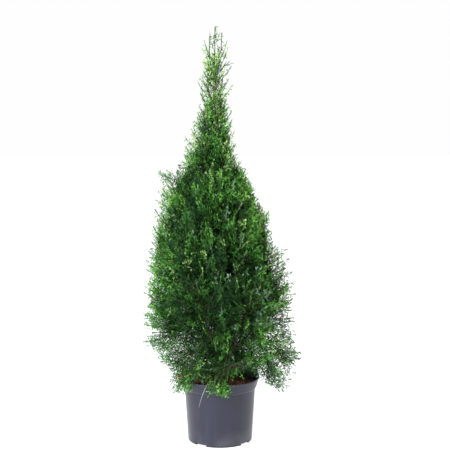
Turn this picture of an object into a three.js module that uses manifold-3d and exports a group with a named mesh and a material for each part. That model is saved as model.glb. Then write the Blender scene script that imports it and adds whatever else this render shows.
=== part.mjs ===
// Emerald green arborvitae in its nursery pot, about 1.2 m tall.
// Millimetres, +Z up. The origin is the centre of the pot's flat underside, and the plant's front faces -Y.

import * as THREE from 'three'
import { mergeVertices } from 'three/addons/utils/BufferGeometryUtils.js'
import Module from 'manifold-3d'

const wasm = await Module()
wasm.setup()

// Gap between two solids that meet
const CLEAR = 0.3

// Pot: a five litre container with a flared collar
const POT_SEGMENTS = 32
const POT_HEIGHT = 190
const POT_WALL = 1.8
const POT_FLOOR = 2.5
const FOOT_RADIUS = 93
const FOOT_CORNER = 4
const BODY_TOP_RADIUS = 102.4
const COLLAR_FOOT = 157
const COLLAR_FOOT_RADIUS = 104.5
const RIM_RADIUS = 115
const RIM_BAND = 5
const RIM_EDGE = 1
const RIM_LIP = 0.8
const COLLAR_STEP = 1
const DRAIN_COUNT = 4
const DRAIN_TURN = 53
const DRAIN_WIDTH = 38
const DRAIN_HEIGHT = 6
const DRAIN_DEPTH = 7

// Soil: fills the pot to a little under the rim, a shade higher at the trunk
const SOIL_EDGE_HEIGHT = 170
const GROUND = 173
const SOIL_MOUND_RADIUS = 30

// Trunk: one leader with a slight lean to the left
const TRUNK_SIDES = 8
const TRUNK_RINGS = 20
const TRUNK_TOP = 1195
const TRUNK_RADIUS = 9.5
const TRUNK_TIP_RADIUS = 0.9
const FLARE_RADIUS = 5
const FLARE_HEIGHT = 16
const TRUNK_LEAN = 14
const TRUNK_SWAY = 4
const TRUNK_DEPTH_SWAY = 2.4
const LEAN_SHARE = 0.7
const TAPER_POWER = 0.85
const RING_CROWDING = 1.8

// Crown outline seen from the front: [height, left edge, right edge]
const CROWN_OUTLINE = [
  [120, -60, 60],
  [165, -120, 160],
  [235, -172, 236],
  [300, -208, 222],
  [375, -217, 210],
  [450, -212, 202],
  [515, -204, 184],
  [600, -190, 146],
  [700, -180, 112],
  [770, -164, 78],
  [810, -122, 54],
  [850, -98, 40],
  [910, -76, 31],
  [980, -56, 22],
  [1050, -52, 24],
  [1095, -46, 34],
  [1140, -44, 20],
  [1170, -32, 8],
  [1197, -22, -4],
]

// Spaces: a cell round each mass's middle, in which heights count at this share, and the room kept round things
const CELL_SQUASH = 0.6
const CELL_MARGIN = 0.6
const LIMB_MARGIN = 0.6
const POT_MARGIN = 2

// Boughs bend up from the trunk: the bend's place along the bough and its share of the climb
const BOUGH_SIDES = 6
const BOUGH_RINGS = 5
const BOUGH_BEND = 0.55
const BOUGH_ELBOW = 0.28

// A curve whose level share is less than this counts as upright
const UPRIGHT = 0.08

// A mass's stem starts in line with its bough, or leaves the trunk at a slant
const STEM_SIDES = 3
const STEM_RINGS = 3
const STEM_LEAD = 0.45
const STEM_SLANT = 1.1
const STEM_TIP_RADIUS = 1.1
const TRUNK_STEM_RADIUS = 1.7

// Twigs leave the stem at even strides along it and round its outward side.
// Leans are in degrees from the stem, at its foot and at its tip.
const GOLDEN_SHARE = 0.618034
const STEM_STRIDE = 0.754878
const STEM_START = 0.3
const TURN_STRIDE = 0.569840
const TURN_START = 0.5
const TURN_FAN = 230
const OUTWARD = -90
const TWIG_SPAN = { bough: [0.08, 0.92], trunk: [0.25, 0.92] }
const TWIG_LEAN = [84, 40]
const LEAN_SPREAD = 16
const ROLL_SPREAD = 140
const REACH_SHARE = [0.88, 1]
const TRIES_PER_TWIG = 3
const MARCH_STEP = 3
const MARCH_LIMIT = 240
const LEAST_REACH = 26
const ROOT_SPACE = 3
const END_SPRAY_AT = 0.98

// Leaf sprays: a stalk and a blade with pairs of teeth. Shares are of the blade's length.
const SPRAY_SHARE = 0.8
const SPRAY_LENGTH = [26, 112]
const SPRAY_WIDTH_SHARE = 0.6
const SPRAY_THICKNESS = 1.3
const STALK_WIDTH = 1.3
const STALK_SINK = 1
const TOOTH_SPAN = [0.3, 0.74]
const NOTCH_STEP = 0.08
const NOTCH_DEPTH = 0.45
const LAST_TOOTH_WIDTH = 0.08
const BLADE_MIDDLE = 0.36
const TWIG_TEETH = 2
const END_TEETH = 3
const SPRAY_GAP = 30
const SHRINK_TRIES = 3
const SHRINK = 0.8

// Dense middle of a mass
const CORE_SIDES = 6
const CORE_RINGS = 4
const CORE_SPAN = [0.06, 0.96]
const CORE_LEAST = 3
const CORE_LIMIT = 130
const CORE_POLE = 0.01

// Tiers of the crown, from the rim up. A tier with a tipRadius has boughs; the rest grow on the trunk.
// Limbs leave the trunk at fork. site is the [radius, height] of a mass's middle, and tip the [share of the
// crown's half width, height] that its stem grows to. stagger sets neighbours at different heights.
const TIERS = [
  { name: 'skirt', count: 6, turn: -20, stagger: 0, fork: 190, forkSpread: 26, boughRadius: [4.2, 2.4],
    tipRadius: 98, tipHeight: 232, site: [150, 240], tip: [0.84, 272], rise: -0.1, twigs: 7, core: 0.5 },
  { name: 'lower', count: 6, turn: 6, stagger: 24, fork: 214, forkSpread: 44, boughRadius: [4.2, 2.4],
    tipRadius: 84, tipHeight: 318, site: [122, 388], tip: [0.8, 458], rise: 0.1, twigs: 7, core: 0.7 },
  { name: 'middle', count: 5, turn: 26, stagger: 28, fork: 330, forkSpread: 48, boughRadius: [3.8, 2.2],
    tipRadius: 68, tipHeight: 470, site: [98, 545], tip: [0.8, 622], rise: 0.2, twigs: 7, core: 0.7 },
  { name: 'upper', count: 4, turn: 15, stagger: 28, fork: 500, forkSpread: 40, boughRadius: [3.4, 2.0],
    tipRadius: 50, tipHeight: 622, site: [72, 698], tip: [0.8, 765], rise: 0.3, twigs: 7, core: 0.7 },
  { name: 'shoulder', count: 4, turn: 60, stagger: 26, fork: 764, forkSpread: 0,
    site: [45, 830], tip: [0.76, 885], rise: 0.4, twigs: 7, core: 0.57 },
  { name: 'column', count: 3, turn: 70, stagger: 24, fork: 876, forkSpread: 0,
    site: [24, 938], tip: [0.64, 980], rise: 0.4, twigs: 7, core: 0.6, sprayGap: 20 },
  { name: 'whip', count: 3, turn: 32, stagger: 20, fork: 990, forkSpread: 0,
    site: [20, 1042], tip: [0.6, 1068], rise: 0.5, twigs: 5, core: 0.5, sprayGap: 16 },
  { name: 'crest', count: 2, turn: 0, stagger: 10, fork: 1094, forkSpread: 0,
    site: [14, 1140], tip: [0.55, 1146], rise: 0.5, twigs: 5, core: 0, sprayGap: 14 },
]

// One low sprig hangs over the rim at the front
const RIM_SPRIG = { name: 'rim_sprig', azimuth: 262, fork: 181, elbow: 0.7, boughRadius: [3, 2],
  tipRadius: 92, tipHeight: 212, site: [128, 150], tip: [-14, -136, 158],
  rise: -0.7, twigs: 4, core: 0, sprayGap: 20 }

const COLORS = {
  pot: 0x55545f, soil: 0x3a3028, bark: 0x5c4030, bough: 0x6b4c38,
  skirt: 0x3d5f35, lower: 0x2f5526, middle: 0x345f28, upper: 0x3f6e2e,
  shoulder: 0x4a7a38, column: 0x5a8746, whip: 0x6d9655, crest: 0x7ea265, rim_sprig: 0x38582f,
}

// Small helpers

const UP = new THREE.Vector3(0, 0, 1)
const { degToRad, lerp, clamp, smoothstep } = THREE.MathUtils
const fraction = value => value - Math.floor(value)

// Linear congruential generator, so that each mass always grows the same way
function seededRandom(seed) {
  let state = seed >>> 0
  const next = () => {
    state = (Math.imul(state, 1664525) + 1013904223) >>> 0
    return state / 4294967296
  }
  next()
  return next
}

function interpolateRow(rows, height) {
  const last = rows.length - 1
  if (height <= rows[0][0]) return rows[0]
  if (height >= rows[last][0]) return rows[last]
  const above = rows.findIndex(row => row[0] > height)
  const share = (height - rows[above - 1][0]) / (rows[above][0] - rows[above - 1][0])
  return rows[above].map((value, i) => lerp(rows[above - 1][i], value, share))
}

// Centre and half width of the crown at a height
function crownAt(height) {
  const [, left, right] = interpolateRow(CROWN_OUTLINE, height)
  return { centre: (left + right) / 2, halfWidth: (right - left) / 2 }
}

function polar(centreX, radius, azimuth, height) {
  const angle = degToRad(azimuth)
  return new THREE.Vector3(centreX + radius * Math.cos(angle), radius * Math.sin(angle), height)
}

// Solids

function solidFrom(geometry) {
  const bare = geometry.clone()
  for (const name of ['normal', 'uv']) bare.deleteAttribute(name)
  const merged = mergeVertices(bare, 1e-4)
  const corners = merged.index.array
  const kept = []
  for (let i = 0; i < corners.length; i += 3) {
    const [a, b, c] = corners.slice(i, i + 3)
    if (a !== b && b !== c && c !== a) kept.push(a, b, c)
  }
  const solid = new wasm.Manifold(new wasm.Mesh({
    numProp: 3, vertProperties: merged.attributes.position.array, triVerts: new Uint32Array(kept),
  }))
  if (!(solid.volume() > 0)) throw new Error('a solid is inside out or open')
  return solid
}

function geometryFrom(solid) {
  const { vertProperties, triVerts } = solid.getMesh()
  const geometry = new THREE.BufferGeometry()
  geometry.setAttribute('position', new THREE.BufferAttribute(new Float32Array(vertProperties), 3))
  geometry.setIndex(new THREE.BufferAttribute(new Uint32Array(triVerts), 1))
  const flat = geometry.toNonIndexed()
  flat.computeVertexNormals()
  return flat
}

// Loose scraps and sealed hollows are bodies of their own, so the largest body is the piece without them
function largestBody(solid) {
  return solid.decompose().reduce((best, body) => (body.volume() > best.volume() ? body : best))
}

// A closed tapering limb along a curve: a capped cylinder bent along it
function limbGeometry(curve, radiusAt, sides, rings) {
  const geometry = new THREE.CylinderGeometry(1, 1, 1, sides, rings)
  const place = geometry.attributes.position
  const out = new THREE.Vector3()
  for (let i = 0; i < place.count; i++) {
    const share = place.getY(i) + 0.5
    const { point, sideways, upwards } = frameOn(curve, share)
    const radius = radiusAt(share)
    out.copy(point)
      .addScaledVector(sideways, radius * place.getX(i))
      .addScaledVector(upwards, radius * place.getZ(i))
    place.setXYZ(i, out.x, out.y, out.z)
  }
  return geometry
}

// Point and axes on a curve, the sideways axis always level
function frameOn(curve, share) {
  const point = curve.getPoint(share)
  const tangent = curve.getTangent(share)
  const sideways = new THREE.Vector3(1, 0, 0)
  if (Math.hypot(tangent.x, tangent.y) > UPRIGHT) sideways.crossVectors(tangent, UP)
  const upwards = new THREE.Vector3().crossVectors(sideways, tangent).normalize()
  sideways.crossVectors(tangent, upwards).normalize()
  return { point, tangent, sideways, upwards }
}

// Point on the axis of a limb made with straight stretches between its rings
function pointOnLimb(curve, rings, share) {
  const ring = Math.min(Math.floor(share * rings), rings - 1)
  const start = curve.getPoint(ring / rings)
  return start.lerp(curve.getPoint((ring + 1) / rings), share * rings - ring)
}

// Pot

function lathe(profile, segments) {
  const points = profile.map(([radius, height]) => new THREE.Vector2(radius, height))
  const geometry = new THREE.LatheGeometry(points, segments)
  return geometry.rotateX(Math.PI / 2)
}

// Inner face of the pot, from the floor to the rim, drawn in by a gap
function innerProfile(gap) {
  const inset = POT_WALL + gap
  return [
    [FOOT_RADIUS - inset, POT_FLOOR + gap],
    [BODY_TOP_RADIUS - inset, COLLAR_FOOT + POT_WALL - COLLAR_STEP],
    [COLLAR_FOOT_RADIUS - inset, COLLAR_FOOT + POT_WALL + COLLAR_STEP],
    [RIM_RADIUS - RIM_EDGE - inset, POT_HEIGHT - RIM_BAND],
  ]
}

function buildPot() {
  const outer = [
    [0, 0],
    [FOOT_RADIUS - FOOT_CORNER, 0],
    [FOOT_RADIUS - FOOT_CORNER * (1 - Math.SQRT1_2), FOOT_CORNER * (1 - Math.SQRT1_2)],
    [FOOT_RADIUS, FOOT_CORNER],
    [BODY_TOP_RADIUS, COLLAR_FOOT - COLLAR_STEP],
    [COLLAR_FOOT_RADIUS, COLLAR_FOOT + COLLAR_STEP],
    [RIM_RADIUS - RIM_EDGE, POT_HEIGHT - RIM_BAND],
    [RIM_RADIUS, POT_HEIGHT - RIM_BAND + RIM_EDGE],
    [RIM_RADIUS, POT_HEIGHT - RIM_EDGE],
    [RIM_RADIUS - RIM_EDGE, POT_HEIGHT],
    [RIM_RADIUS - POT_WALL - RIM_LIP, POT_HEIGHT],
  ]
  const profile = [...outer, ...innerProfile(0).reverse(), [0, POT_FLOOR]]
  let pot = solidFrom(lathe(profile, POT_SEGMENTS))
  for (let i = 0; i < DRAIN_COUNT; i++) {
    const notch = new THREE.BoxGeometry(2 * DRAIN_DEPTH, DRAIN_WIDTH, 2 * DRAIN_HEIGHT)
    notch.translate(FOOT_RADIUS, 0, 0)
    notch.rotateZ(degToRad(DRAIN_TURN + 360 * i / DRAIN_COUNT))
    pot = pot.subtract(solidFrom(notch))
  }
  return pot
}

// Soil

function buildSoil() {
  const wall = innerProfile(CLEAR)
  const [radius] = interpolateRow(wall.map(([r, h]) => [h, r]), SOIL_EDGE_HEIGHT).slice(1)
  const profile = [
    [0, wall[0][1]],
    ...wall.slice(0, 3),
    [radius, SOIL_EDGE_HEIGHT],
    [SOIL_MOUND_RADIUS, GROUND],
    [0, GROUND],
  ]
  return solidFrom(lathe(profile, POT_SEGMENTS))
}

// Trunk

const TRUNK_FOOT = GROUND + CLEAR

class TrunkCurve extends THREE.Curve {
  getPoint(share, target = new THREE.Vector3()) {
    const lean = -TRUNK_LEAN * smoothstep(share, 0, LEAN_SHARE)
    const sway = Math.sin(share * 3 * Math.PI)
    return target.set(
      lean + TRUNK_SWAY * sway * (1 - share),
      TRUNK_DEPTH_SWAY * Math.sin(share * 2 * Math.PI),
      lerp(TRUNK_FOOT, TRUNK_TOP, share),
    )
  }
}

const trunkCurve = new TrunkCurve()
const trunkShare = height => clamp((height - TRUNK_FOOT) / (TRUNK_TOP - TRUNK_FOOT), 0, 1)
const trunkAt = height => trunkCurve.getPoint(trunkShare(height))

function trunkRadius(share) {
  const flare = FLARE_RADIUS * Math.exp(-share * (TRUNK_TOP - TRUNK_FOOT) / FLARE_HEIGHT)
  return lerp(TRUNK_RADIUS, TRUNK_TIP_RADIUS, share ** TAPER_POWER) + flare
}

// Rings crowd towards the foot, where the flare is
const trunkRing = share => share ** RING_CROWDING

// The trunk's sections are level, so that its foot is a flat cut
function trunkSolid(extra) {
  const geometry = new THREE.CylinderGeometry(1, 1, 1, TRUNK_SIDES, TRUNK_RINGS)
  geometry.rotateX(Math.PI / 2)
  const place = geometry.attributes.position
  for (let i = 0; i < place.count; i++) {
    const share = trunkRing(place.getZ(i) + 0.5)
    const point = trunkCurve.getPoint(share)
    const radius = trunkRadius(share) + extra
    place.setXYZ(i, point.x + radius * place.getX(i), point.y + radius * place.getY(i), point.z)
  }
  return solidFrom(geometry)
}

// Limbs, as rows of points with a radius, against which twigs and sprays are tested

function limbPoints(curve, radiusAt, count) {
  const points = []
  for (let i = 0; i <= count; i++) {
    points.push({ point: curve.getPoint(i / count), radius: radiusAt(i / count) })
  }
  return points
}

function distanceToSegment(point, start, end) {
  const span = new THREE.Vector3().subVectors(end, start)
  const offset = new THREE.Vector3().subVectors(point, start)
  const share = clamp(offset.dot(span) / span.lengthSq(), 0, 1)
  return { distance: offset.addScaledVector(span, -share).length(), share }
}

function clearOfLimb(point, limb, margin) {
  for (let i = 1; i < limb.length; i++) {
    const { distance, share } = distanceToSegment(point, limb[i - 1].point, limb[i].point)
    if (distance < lerp(limb[i - 1].radius, limb[i].radius, share) + margin) return false
  }
  return true
}

// Boughs and the masses they carry

function boughCurve(mass) {
  const start = trunkAt(mass.fork)
  const end = polar(trunkAt(mass.tipHeight).x, mass.tipRadius, mass.azimuth, mass.tipHeight)
  const middle = new THREE.Vector3().lerpVectors(start, end, BOUGH_BEND)
  middle.z = lerp(mass.fork, mass.tipHeight, mass.elbow)
  return new THREE.QuadraticBezierCurve3(start, middle, end)
}

function massTip(mass) {
  if (Array.isArray(mass.tip) && mass.tip.length === 3) return new THREE.Vector3(...mass.tip)
  const [share, height] = mass.tip
  const { centre, halfWidth } = crownAt(height)
  return polar(centre, share * halfWidth, mass.azimuth, height)
}

// Every mass of the crown, its bough and its stem
function planMasses() {
  const masses = []
  for (const tier of TIERS) {
    for (let i = 0; i < tier.count; i++) {
      const shift = tier.stagger * (2 * fraction(0.5 + i * GOLDEN_SHARE) - 1)
      masses.push({ ...tier, tier: tier.name, elbow: BOUGH_ELBOW,
        name: `${tier.name}_foliage_${i + 1}`,
        boughName: `${tier.name}_bough_${i + 1}`,
        azimuth: tier.turn + 360 * i / tier.count,
        fork: tier.fork + shift + tier.forkSpread * fraction(i * GOLDEN_SHARE),
        tipHeight: tier.tipHeight + shift,
        site: [tier.site[0], tier.site[1] + shift],
        tip: [tier.tip[0], tier.tip[1] + shift] })
    }
  }
  masses.push({ ...RIM_SPRIG, tier: 'rim_sprig', name: 'rim_sprig_foliage', boughName: 'rim_sprig_bough' })
  masses.forEach((mass, index) => {
    mass.seed = 101 + 17 * index
    const centreX = crownAt(mass.site[1]).centre
    mass.centre = polar(centreX, mass.site[0], mass.azimuth, mass.site[1])
    const tip = massTip(mass)
    if (mass.tipRadius) {
      mass.bough = boughCurve(mass)
      const tangent = mass.bough.getTangent(1)
      const root = mass.bough.getPoint(1).addScaledVector(tangent, CLEAR)
      const middle = root.clone().addScaledVector(tangent, STEM_LEAD * root.distanceTo(tip))
      mass.stem = new THREE.QuadraticBezierCurve3(root, middle, tip)
      mass.stemRadius = mass.boughRadius[1]
    } else {
      const root = trunkAt(mass.fork)
      const outward = Math.hypot(tip.x - root.x, tip.y - root.y)
      const middle = new THREE.Vector3(tip.x, tip.y, mass.fork + STEM_SLANT * outward)
      mass.stem = new THREE.QuadraticBezierCurve3(root, middle, tip)
      mass.stemRadius = TRUNK_STEM_RADIUS
    }
  })
  return masses
}

const masses = planMasses()
const trunkLimb = limbPoints(trunkCurve, trunkRadius, 40)
const boughLimbs = masses.filter(mass => mass.bough).map(mass =>
  limbPoints(mass.bough, share => lerp(...mass.boughRadius, share), 8))
const limbs = [trunkLimb, ...boughLimbs]

// Whether a point lies in the mass's own cell
function inCell(point, mass) {
  return masses.every(other => {
    if (other === mass) return true
    const span = new THREE.Vector3().subVectors(other.centre, mass.centre)
    const offset = point.clone().sub(mass.centre).addScaledVector(span, -0.5)
    span.z *= CELL_SQUASH ** 2
    return offset.dot(span) / span.length() < -CELL_MARGIN
  })
}

// Whether a point lies inside the crown's outline
function inCrown(point) {
  const { centre, halfWidth } = crownAt(point.z)
  const top = CROWN_OUTLINE[CROWN_OUTLINE.length - 1][0]
  return point.z < top && Math.hypot(point.x - centre, point.y) < halfWidth
}

function clearOfPot(point) {
  return point.z > POT_HEIGHT + POT_MARGIN || Math.hypot(point.x, point.y) > RIM_RADIUS + POT_MARGIN
}

function inSpace(point, mass) {
  return inCrown(point) && clearOfPot(point) && inCell(point, mass)
    && limbs.every(limb => clearOfLimb(point, limb, LIMB_MARGIN))
}

// A leaf spray with its stalk: a toothed blade that is thickest along its midrib.
// Points are [along, across], the right-hand side from the stalk to the tip.
function sprayOutline(stalk, length, width, teeth) {
  const side = [[-STALK_SINK, STALK_WIDTH], [stalk, STALK_WIDTH]]
  for (let i = 0; i < teeth; i++) {
    const along = lerp(...TOOTH_SPAN, i / (teeth - 1))
    const across = 0.5 * width * (1 - along) / (1 - TOOTH_SPAN[0]) + LAST_TOOTH_WIDTH * width
    side.push([stalk + along * length, across])
    if (i < teeth - 1) side.push([stalk + (along + NOTCH_STEP) * length, across * NOTCH_DEPTH])
  }
  return side
}

function sprayGeometry(root, along, across, stalk, length, width, teeth) {
  const normal = new THREE.Vector3().crossVectors(along, across)
  const put = (u, v, w) => root.clone()
    .addScaledVector(along, u).addScaledVector(across, v).addScaledVector(normal, w)
  const side = sprayOutline(stalk, length, width, teeth)
  const middle = stalk + BLADE_MIDDLE * length
  const half = SPRAY_THICKNESS
  const vertices = [
    put(-STALK_SINK, 0, half), put(-STALK_SINK, 0, -half), put(middle, 0, half), put(middle, 0, -half),
    put(stalk + length, 0, 0),
    ...side.map(([u, v]) => put(u, v, 0)),
    ...side.map(([u, v]) => put(u, -v, 0)),
  ]
  const [startTop, startBottom, middleTop, middleBottom, tip] = [0, 1, 2, 3, 4]
  const right = side.map((_, i) => 5 + i)
  const left = side.map((_, i) => 5 + side.length + i)
  const faces = []
  const closeSide = (edge, flip) => {
    const add = (a, b, c) => faces.push(flip ? [a, c, b] : [a, b, c])
    const rim = [...edge, tip]
    add(startBottom, edge[0], startTop)
    add(startTop, edge[0], edge[1])
    add(startBottom, edge[1], edge[0])
    add(startTop, edge[1], middleTop)
    add(startBottom, middleBottom, edge[1])
    for (let i = 1; i < rim.length - 1; i++) {
      add(middleTop, rim[i], rim[i + 1])
      add(middleBottom, rim[i + 1], rim[i])
    }
  }
  closeSide(right, true)
  closeSide(left, false)
  const geometry = new THREE.BufferGeometry()
  geometry.setFromPoints(faces.flat().map(i => vertices[i]))
  return { geometry, rim: vertices.slice(4) }
}

// How far a ray from the stem runs inside the mass's space
function reachAlong(origin, direction, mass, start) {
  let reach = start
  const point = new THREE.Vector3()
  while (reach < MARCH_LIMIT) {
    point.copy(origin).addScaledVector(direction, reach + MARCH_STEP)
    if (!inSpace(point, mass)) break
    reach += MARCH_STEP
  }
  return reach
}

// One twig with its spray, shrunk until it fits its space, or nothing
function growSpray(mass, root, direction, reach, roll, teeth, start) {
  let length = clamp(reach * SPRAY_SHARE, ...SPRAY_LENGTH)
  let stalk = Math.max(reach - length, start)
  const level = new THREE.Vector3().crossVectors(direction, UP).normalize()
  const upright = new THREE.Vector3().crossVectors(level, direction)
  const across = upright.multiplyScalar(Math.cos(roll)).addScaledVector(level, Math.sin(roll))
  for (let i = 0; i < SHRINK_TRIES; i++) {
    const spray = sprayGeometry(root, direction, across, stalk, length, length * SPRAY_WIDTH_SHARE, teeth)
    const outside = spray.rim.filter(point => point.distanceTo(root) > start)
    spray.middle = root.clone().addScaledVector(direction, stalk + BLADE_MIDDLE * length)
    if (outside.every(point => inSpace(point, mass))) return spray
    length *= SHRINK
    stalk *= SHRINK
  }
  return null
}

// The dense middle of a mass, which its sprays stand out of: a ball drawn out along the stem,
// each corner at a share of the way to the edge of the mass's space
function coreSolid(mass) {
  const geometry = new THREE.SphereGeometry(1, CORE_SIDES, CORE_RINGS)
  const place = geometry.attributes.position
  for (let i = 0; i < place.count; i++) {
    const [x, y, z] = [place.getX(i), place.getY(i), place.getZ(i)]
    const { point, sideways, upwards } = frameOn(mass.stem, lerp(...CORE_SPAN, 0.5 + 0.5 * y))
    const ring = Math.hypot(x, z)
    if (ring > CORE_POLE) {
      const direction = sideways.multiplyScalar(x / ring).addScaledVector(upwards, z / ring)
      const reach = Math.min(reachAlong(point, direction, mass, 0), CORE_LIMIT)
      point.addScaledVector(direction, Math.max(CORE_LEAST, mass.core * reach * ring))
    }
    place.setXYZ(i, point.x, point.y, point.z)
  }
  return solidFrom(geometry)
}

// The mass's growing rule: one spray ends the stem, and twigs with sprays leave it on its outward side.
// A spray that crowds another is left out.
function growMass(mass) {
  const random = seededRandom(mass.seed)
  const stemRadiusAt = share => lerp(mass.stemRadius, STEM_TIP_RADIUS, share)
  const parts = [solidFrom(limbGeometry(mass.stem, stemRadiusAt, STEM_SIDES, STEM_RINGS))]
  if (mass.core) parts.push(coreSolid(mass))
  const middles = []
  const gap = mass.sprayGap ?? SPRAY_GAP
  const span = mass.bough ? TWIG_SPAN.bough : TWIG_SPAN.trunk
  const grow = (share, direction, reachShare, roll, teeth) => {
    const point = pointOnLimb(mass.stem, STEM_RINGS, share)
    const start = ROOT_SPACE + (mass.bough ? 0 : trunkRadius(trunkShare(point.z)))
    const reach = reachShare * reachAlong(point, direction, mass, start)
    if (reach < LEAST_REACH) return
    const spray = growSpray(mass, point, direction, reach, roll, teeth, start)
    if (!spray || middles.some(middle => middle.distanceTo(spray.middle) < gap)) return
    parts.push(solidFrom(spray.geometry))
    middles.push(spray.middle)
  }
  grow(END_SPRAY_AT, mass.stem.getTangent(1), 1, random() - 0.5, END_TEETH)
  for (let k = 0; k < TRIES_PER_TWIG * mass.twigs && middles.length <= mass.twigs; k++) {
    const share = lerp(...span, fraction(STEM_START + k * STEM_STRIDE))
    const turn = degToRad(OUTWARD + TURN_FAN * (fraction(TURN_START + k * TURN_STRIDE) - 0.5))
    const lean = degToRad(lerp(...TWIG_LEAN, share) + LEAN_SPREAD * (random() - 0.5))
    const reachShare = lerp(...REACH_SHARE, random())
    const roll = degToRad(ROLL_SPREAD * (random() - 0.5))
    const { tangent, sideways, upwards } = frameOn(mass.stem, share)
    const direction = tangent.clone().multiplyScalar(Math.cos(lean))
      .addScaledVector(sideways, Math.sin(lean) * Math.cos(turn))
      .addScaledVector(upwards, Math.sin(lean) * Math.sin(turn))
      .addScaledVector(UP, mass.rise).normalize()
    grow(share, direction, reachShare, roll, TWIG_TEETH)
  }
  return largestBody(wasm.Manifold.union(parts))
}

// Assembly

const plant = new THREE.Group()

function addNode(name, solid, color, roughness) {
  const material = new THREE.MeshStandardMaterial({ color, roughness, metalness: 0 })
  const mesh = new THREE.Mesh(geometryFrom(solid), material)
  mesh.name = name
  plant.add(mesh)
}

addNode('pot', buildPot(), COLORS.pot, 0.45)
addNode('soil', buildSoil(), COLORS.soil, 1)
addNode('trunk', trunkSolid(0), COLORS.bark, 0.9)

const trunkWithGap = trunkSolid(CLEAR / Math.cos(Math.PI / TRUNK_SIDES))
for (const mass of masses) {
  if (mass.bough) {
    const radiusAt = share => lerp(...mass.boughRadius, share)
    const bough = solidFrom(limbGeometry(mass.bough, radiusAt, BOUGH_SIDES, BOUGH_RINGS))
    addNode(mass.boughName, largestBody(bough.subtract(trunkWithGap)), COLORS.bough, 0.9)
  }
  const foliage = largestBody(growMass(mass).subtract(trunkWithGap))
  addNode(mass.name, foliage, COLORS[mass.tier], 0.8)
}

export default plant
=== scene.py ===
"""Emerald green arborvitae in its round nursery pot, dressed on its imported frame.

The plant grows by the rule of the part's source, in millimetres, and goes on from there to finer twigs and
sprays. Its meshes are in metres, +Z up, with the origin at the centre of the pot's flat underside.
"""

import math
from collections import namedtuple
from functools import cache
from itertools import product
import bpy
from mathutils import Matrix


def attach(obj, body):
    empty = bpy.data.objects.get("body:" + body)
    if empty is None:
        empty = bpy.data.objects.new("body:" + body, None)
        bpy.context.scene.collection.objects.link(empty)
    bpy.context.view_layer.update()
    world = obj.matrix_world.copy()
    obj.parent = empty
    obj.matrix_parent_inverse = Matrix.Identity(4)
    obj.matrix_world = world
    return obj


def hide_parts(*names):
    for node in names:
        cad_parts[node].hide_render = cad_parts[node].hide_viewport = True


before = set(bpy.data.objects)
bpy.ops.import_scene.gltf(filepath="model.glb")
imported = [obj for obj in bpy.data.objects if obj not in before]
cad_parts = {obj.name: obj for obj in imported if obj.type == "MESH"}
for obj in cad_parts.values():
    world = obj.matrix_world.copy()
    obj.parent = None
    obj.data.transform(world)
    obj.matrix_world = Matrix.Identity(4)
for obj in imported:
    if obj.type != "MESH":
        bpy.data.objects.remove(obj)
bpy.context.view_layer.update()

from types import SimpleNamespace

import bpy
import numpy as np
from bpy.props import FloatProperty, FloatVectorProperty, IntProperty, PointerProperty

bl_info = {
    "name": "Potted Arborvitae",
    "version": (1, 0, 0),
    "blender": (4, 5, 0),
    "location": "3D View > Sidebar > Arborvitae",
    "description": "Builds an emerald green arborvitae in its nursery pot around a packed frame",
    "category": "Object",
}

MM = 0.001
UP = np.array([0.0, 0.0, 1.0])
ASIDE = np.array([1.0, 0.0, 0.0])
DEPTH = np.array([0.0, 1.0, 0.0])

# Seeds of the random streams. Each mass of the crown has its own, as in the part's source.
SEEDS = {"soil": 7, "limbs": 11, "twigs": 13, "templates": 17, "sprays": 19,
         "outer": 331, "inner": 577, "fringe": 743, "leader": 997}
MASS_SEED = 101
MASS_SEED_STEP = 17

# Sizes of the part's source, in millimetres: gap, pot, soil and trunk
CLEAR = 0.3
POT_HEIGHT = 190
POT_WALL = 1.8
FOOT_RADIUS = 93
FOOT_CORNER = 4
BODY_TOP_RADIUS = 102.4
COLLAR_FOOT = 157
COLLAR_FOOT_RADIUS = 104.5
COLLAR_STEP = 1
RIM_RADIUS = 115
RIM_BAND = 5
RIM_EDGE = 1
DRAIN_COUNT = 4
DRAIN_TURN = 53
DRAIN_WIDTH = 38
DRAIN_HEIGHT = 6
# Under the foot the notches reach further in than in the source, so the floor shows through them
DRAIN_REACH = 16
INNER_FLOOR = 8
SOIL_EDGE_HEIGHT = 170
GROUND = 173
SOIL_MOUND_RADIUS = 30
TRUNK_TOP = 1195
TRUNK_RADIUS = 9.5
TRUNK_TIP_RADIUS = 0.9
FLARE_RADIUS = 5
FLARE_HEIGHT = 16
TRUNK_LEAN = 14
TRUNK_SWAY = 4
TRUNK_DEPTH_SWAY = 2.4
LEAN_SHARE = 0.7
TAPER_POWER = 0.85

# Crown outline seen from the front: height, left edge, right edge
CROWN_OUTLINE = np.array([
    [120, -60, 60], [165, -120, 160], [235, -172, 236], [300, -208, 222],
    [375, -217, 210], [450, -212, 202], [515, -204, 184], [600, -190, 146],
    [700, -180, 112], [770, -164, 78], [810, -122, 54], [850, -98, 40], [910, -76, 31],
    [980, -56, 22], [1050, -52, 24], [1095, -46, 34], [1140, -44, 20], [1170, -32, 8],
    [1197, -22, -4],
], float)
CROWN_TOP = CROWN_OUTLINE[-1, 0]

# Outline of the dense crown, within which the finer sprays keep
DENSE_OUTLINE = np.array([
    [120, -60, 60], [165, -104, 102], [200, -116, 136], [254, -126, 184],
    [300, -152, 172], [343, -176, 160], [432, -188, 174], [520, -190, 150],
    [580, -185, 134], [622, -176, 129], [660, -160, 122], [700, -147, 104],
    [760, -120, 74], [800, -96, 54], [850, -70, 32], [900, -60, 26], [980, -44, 16],
    [1060, -38, 10], [1120, -42, 14], [1197, -22, -4],
], float)

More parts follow.
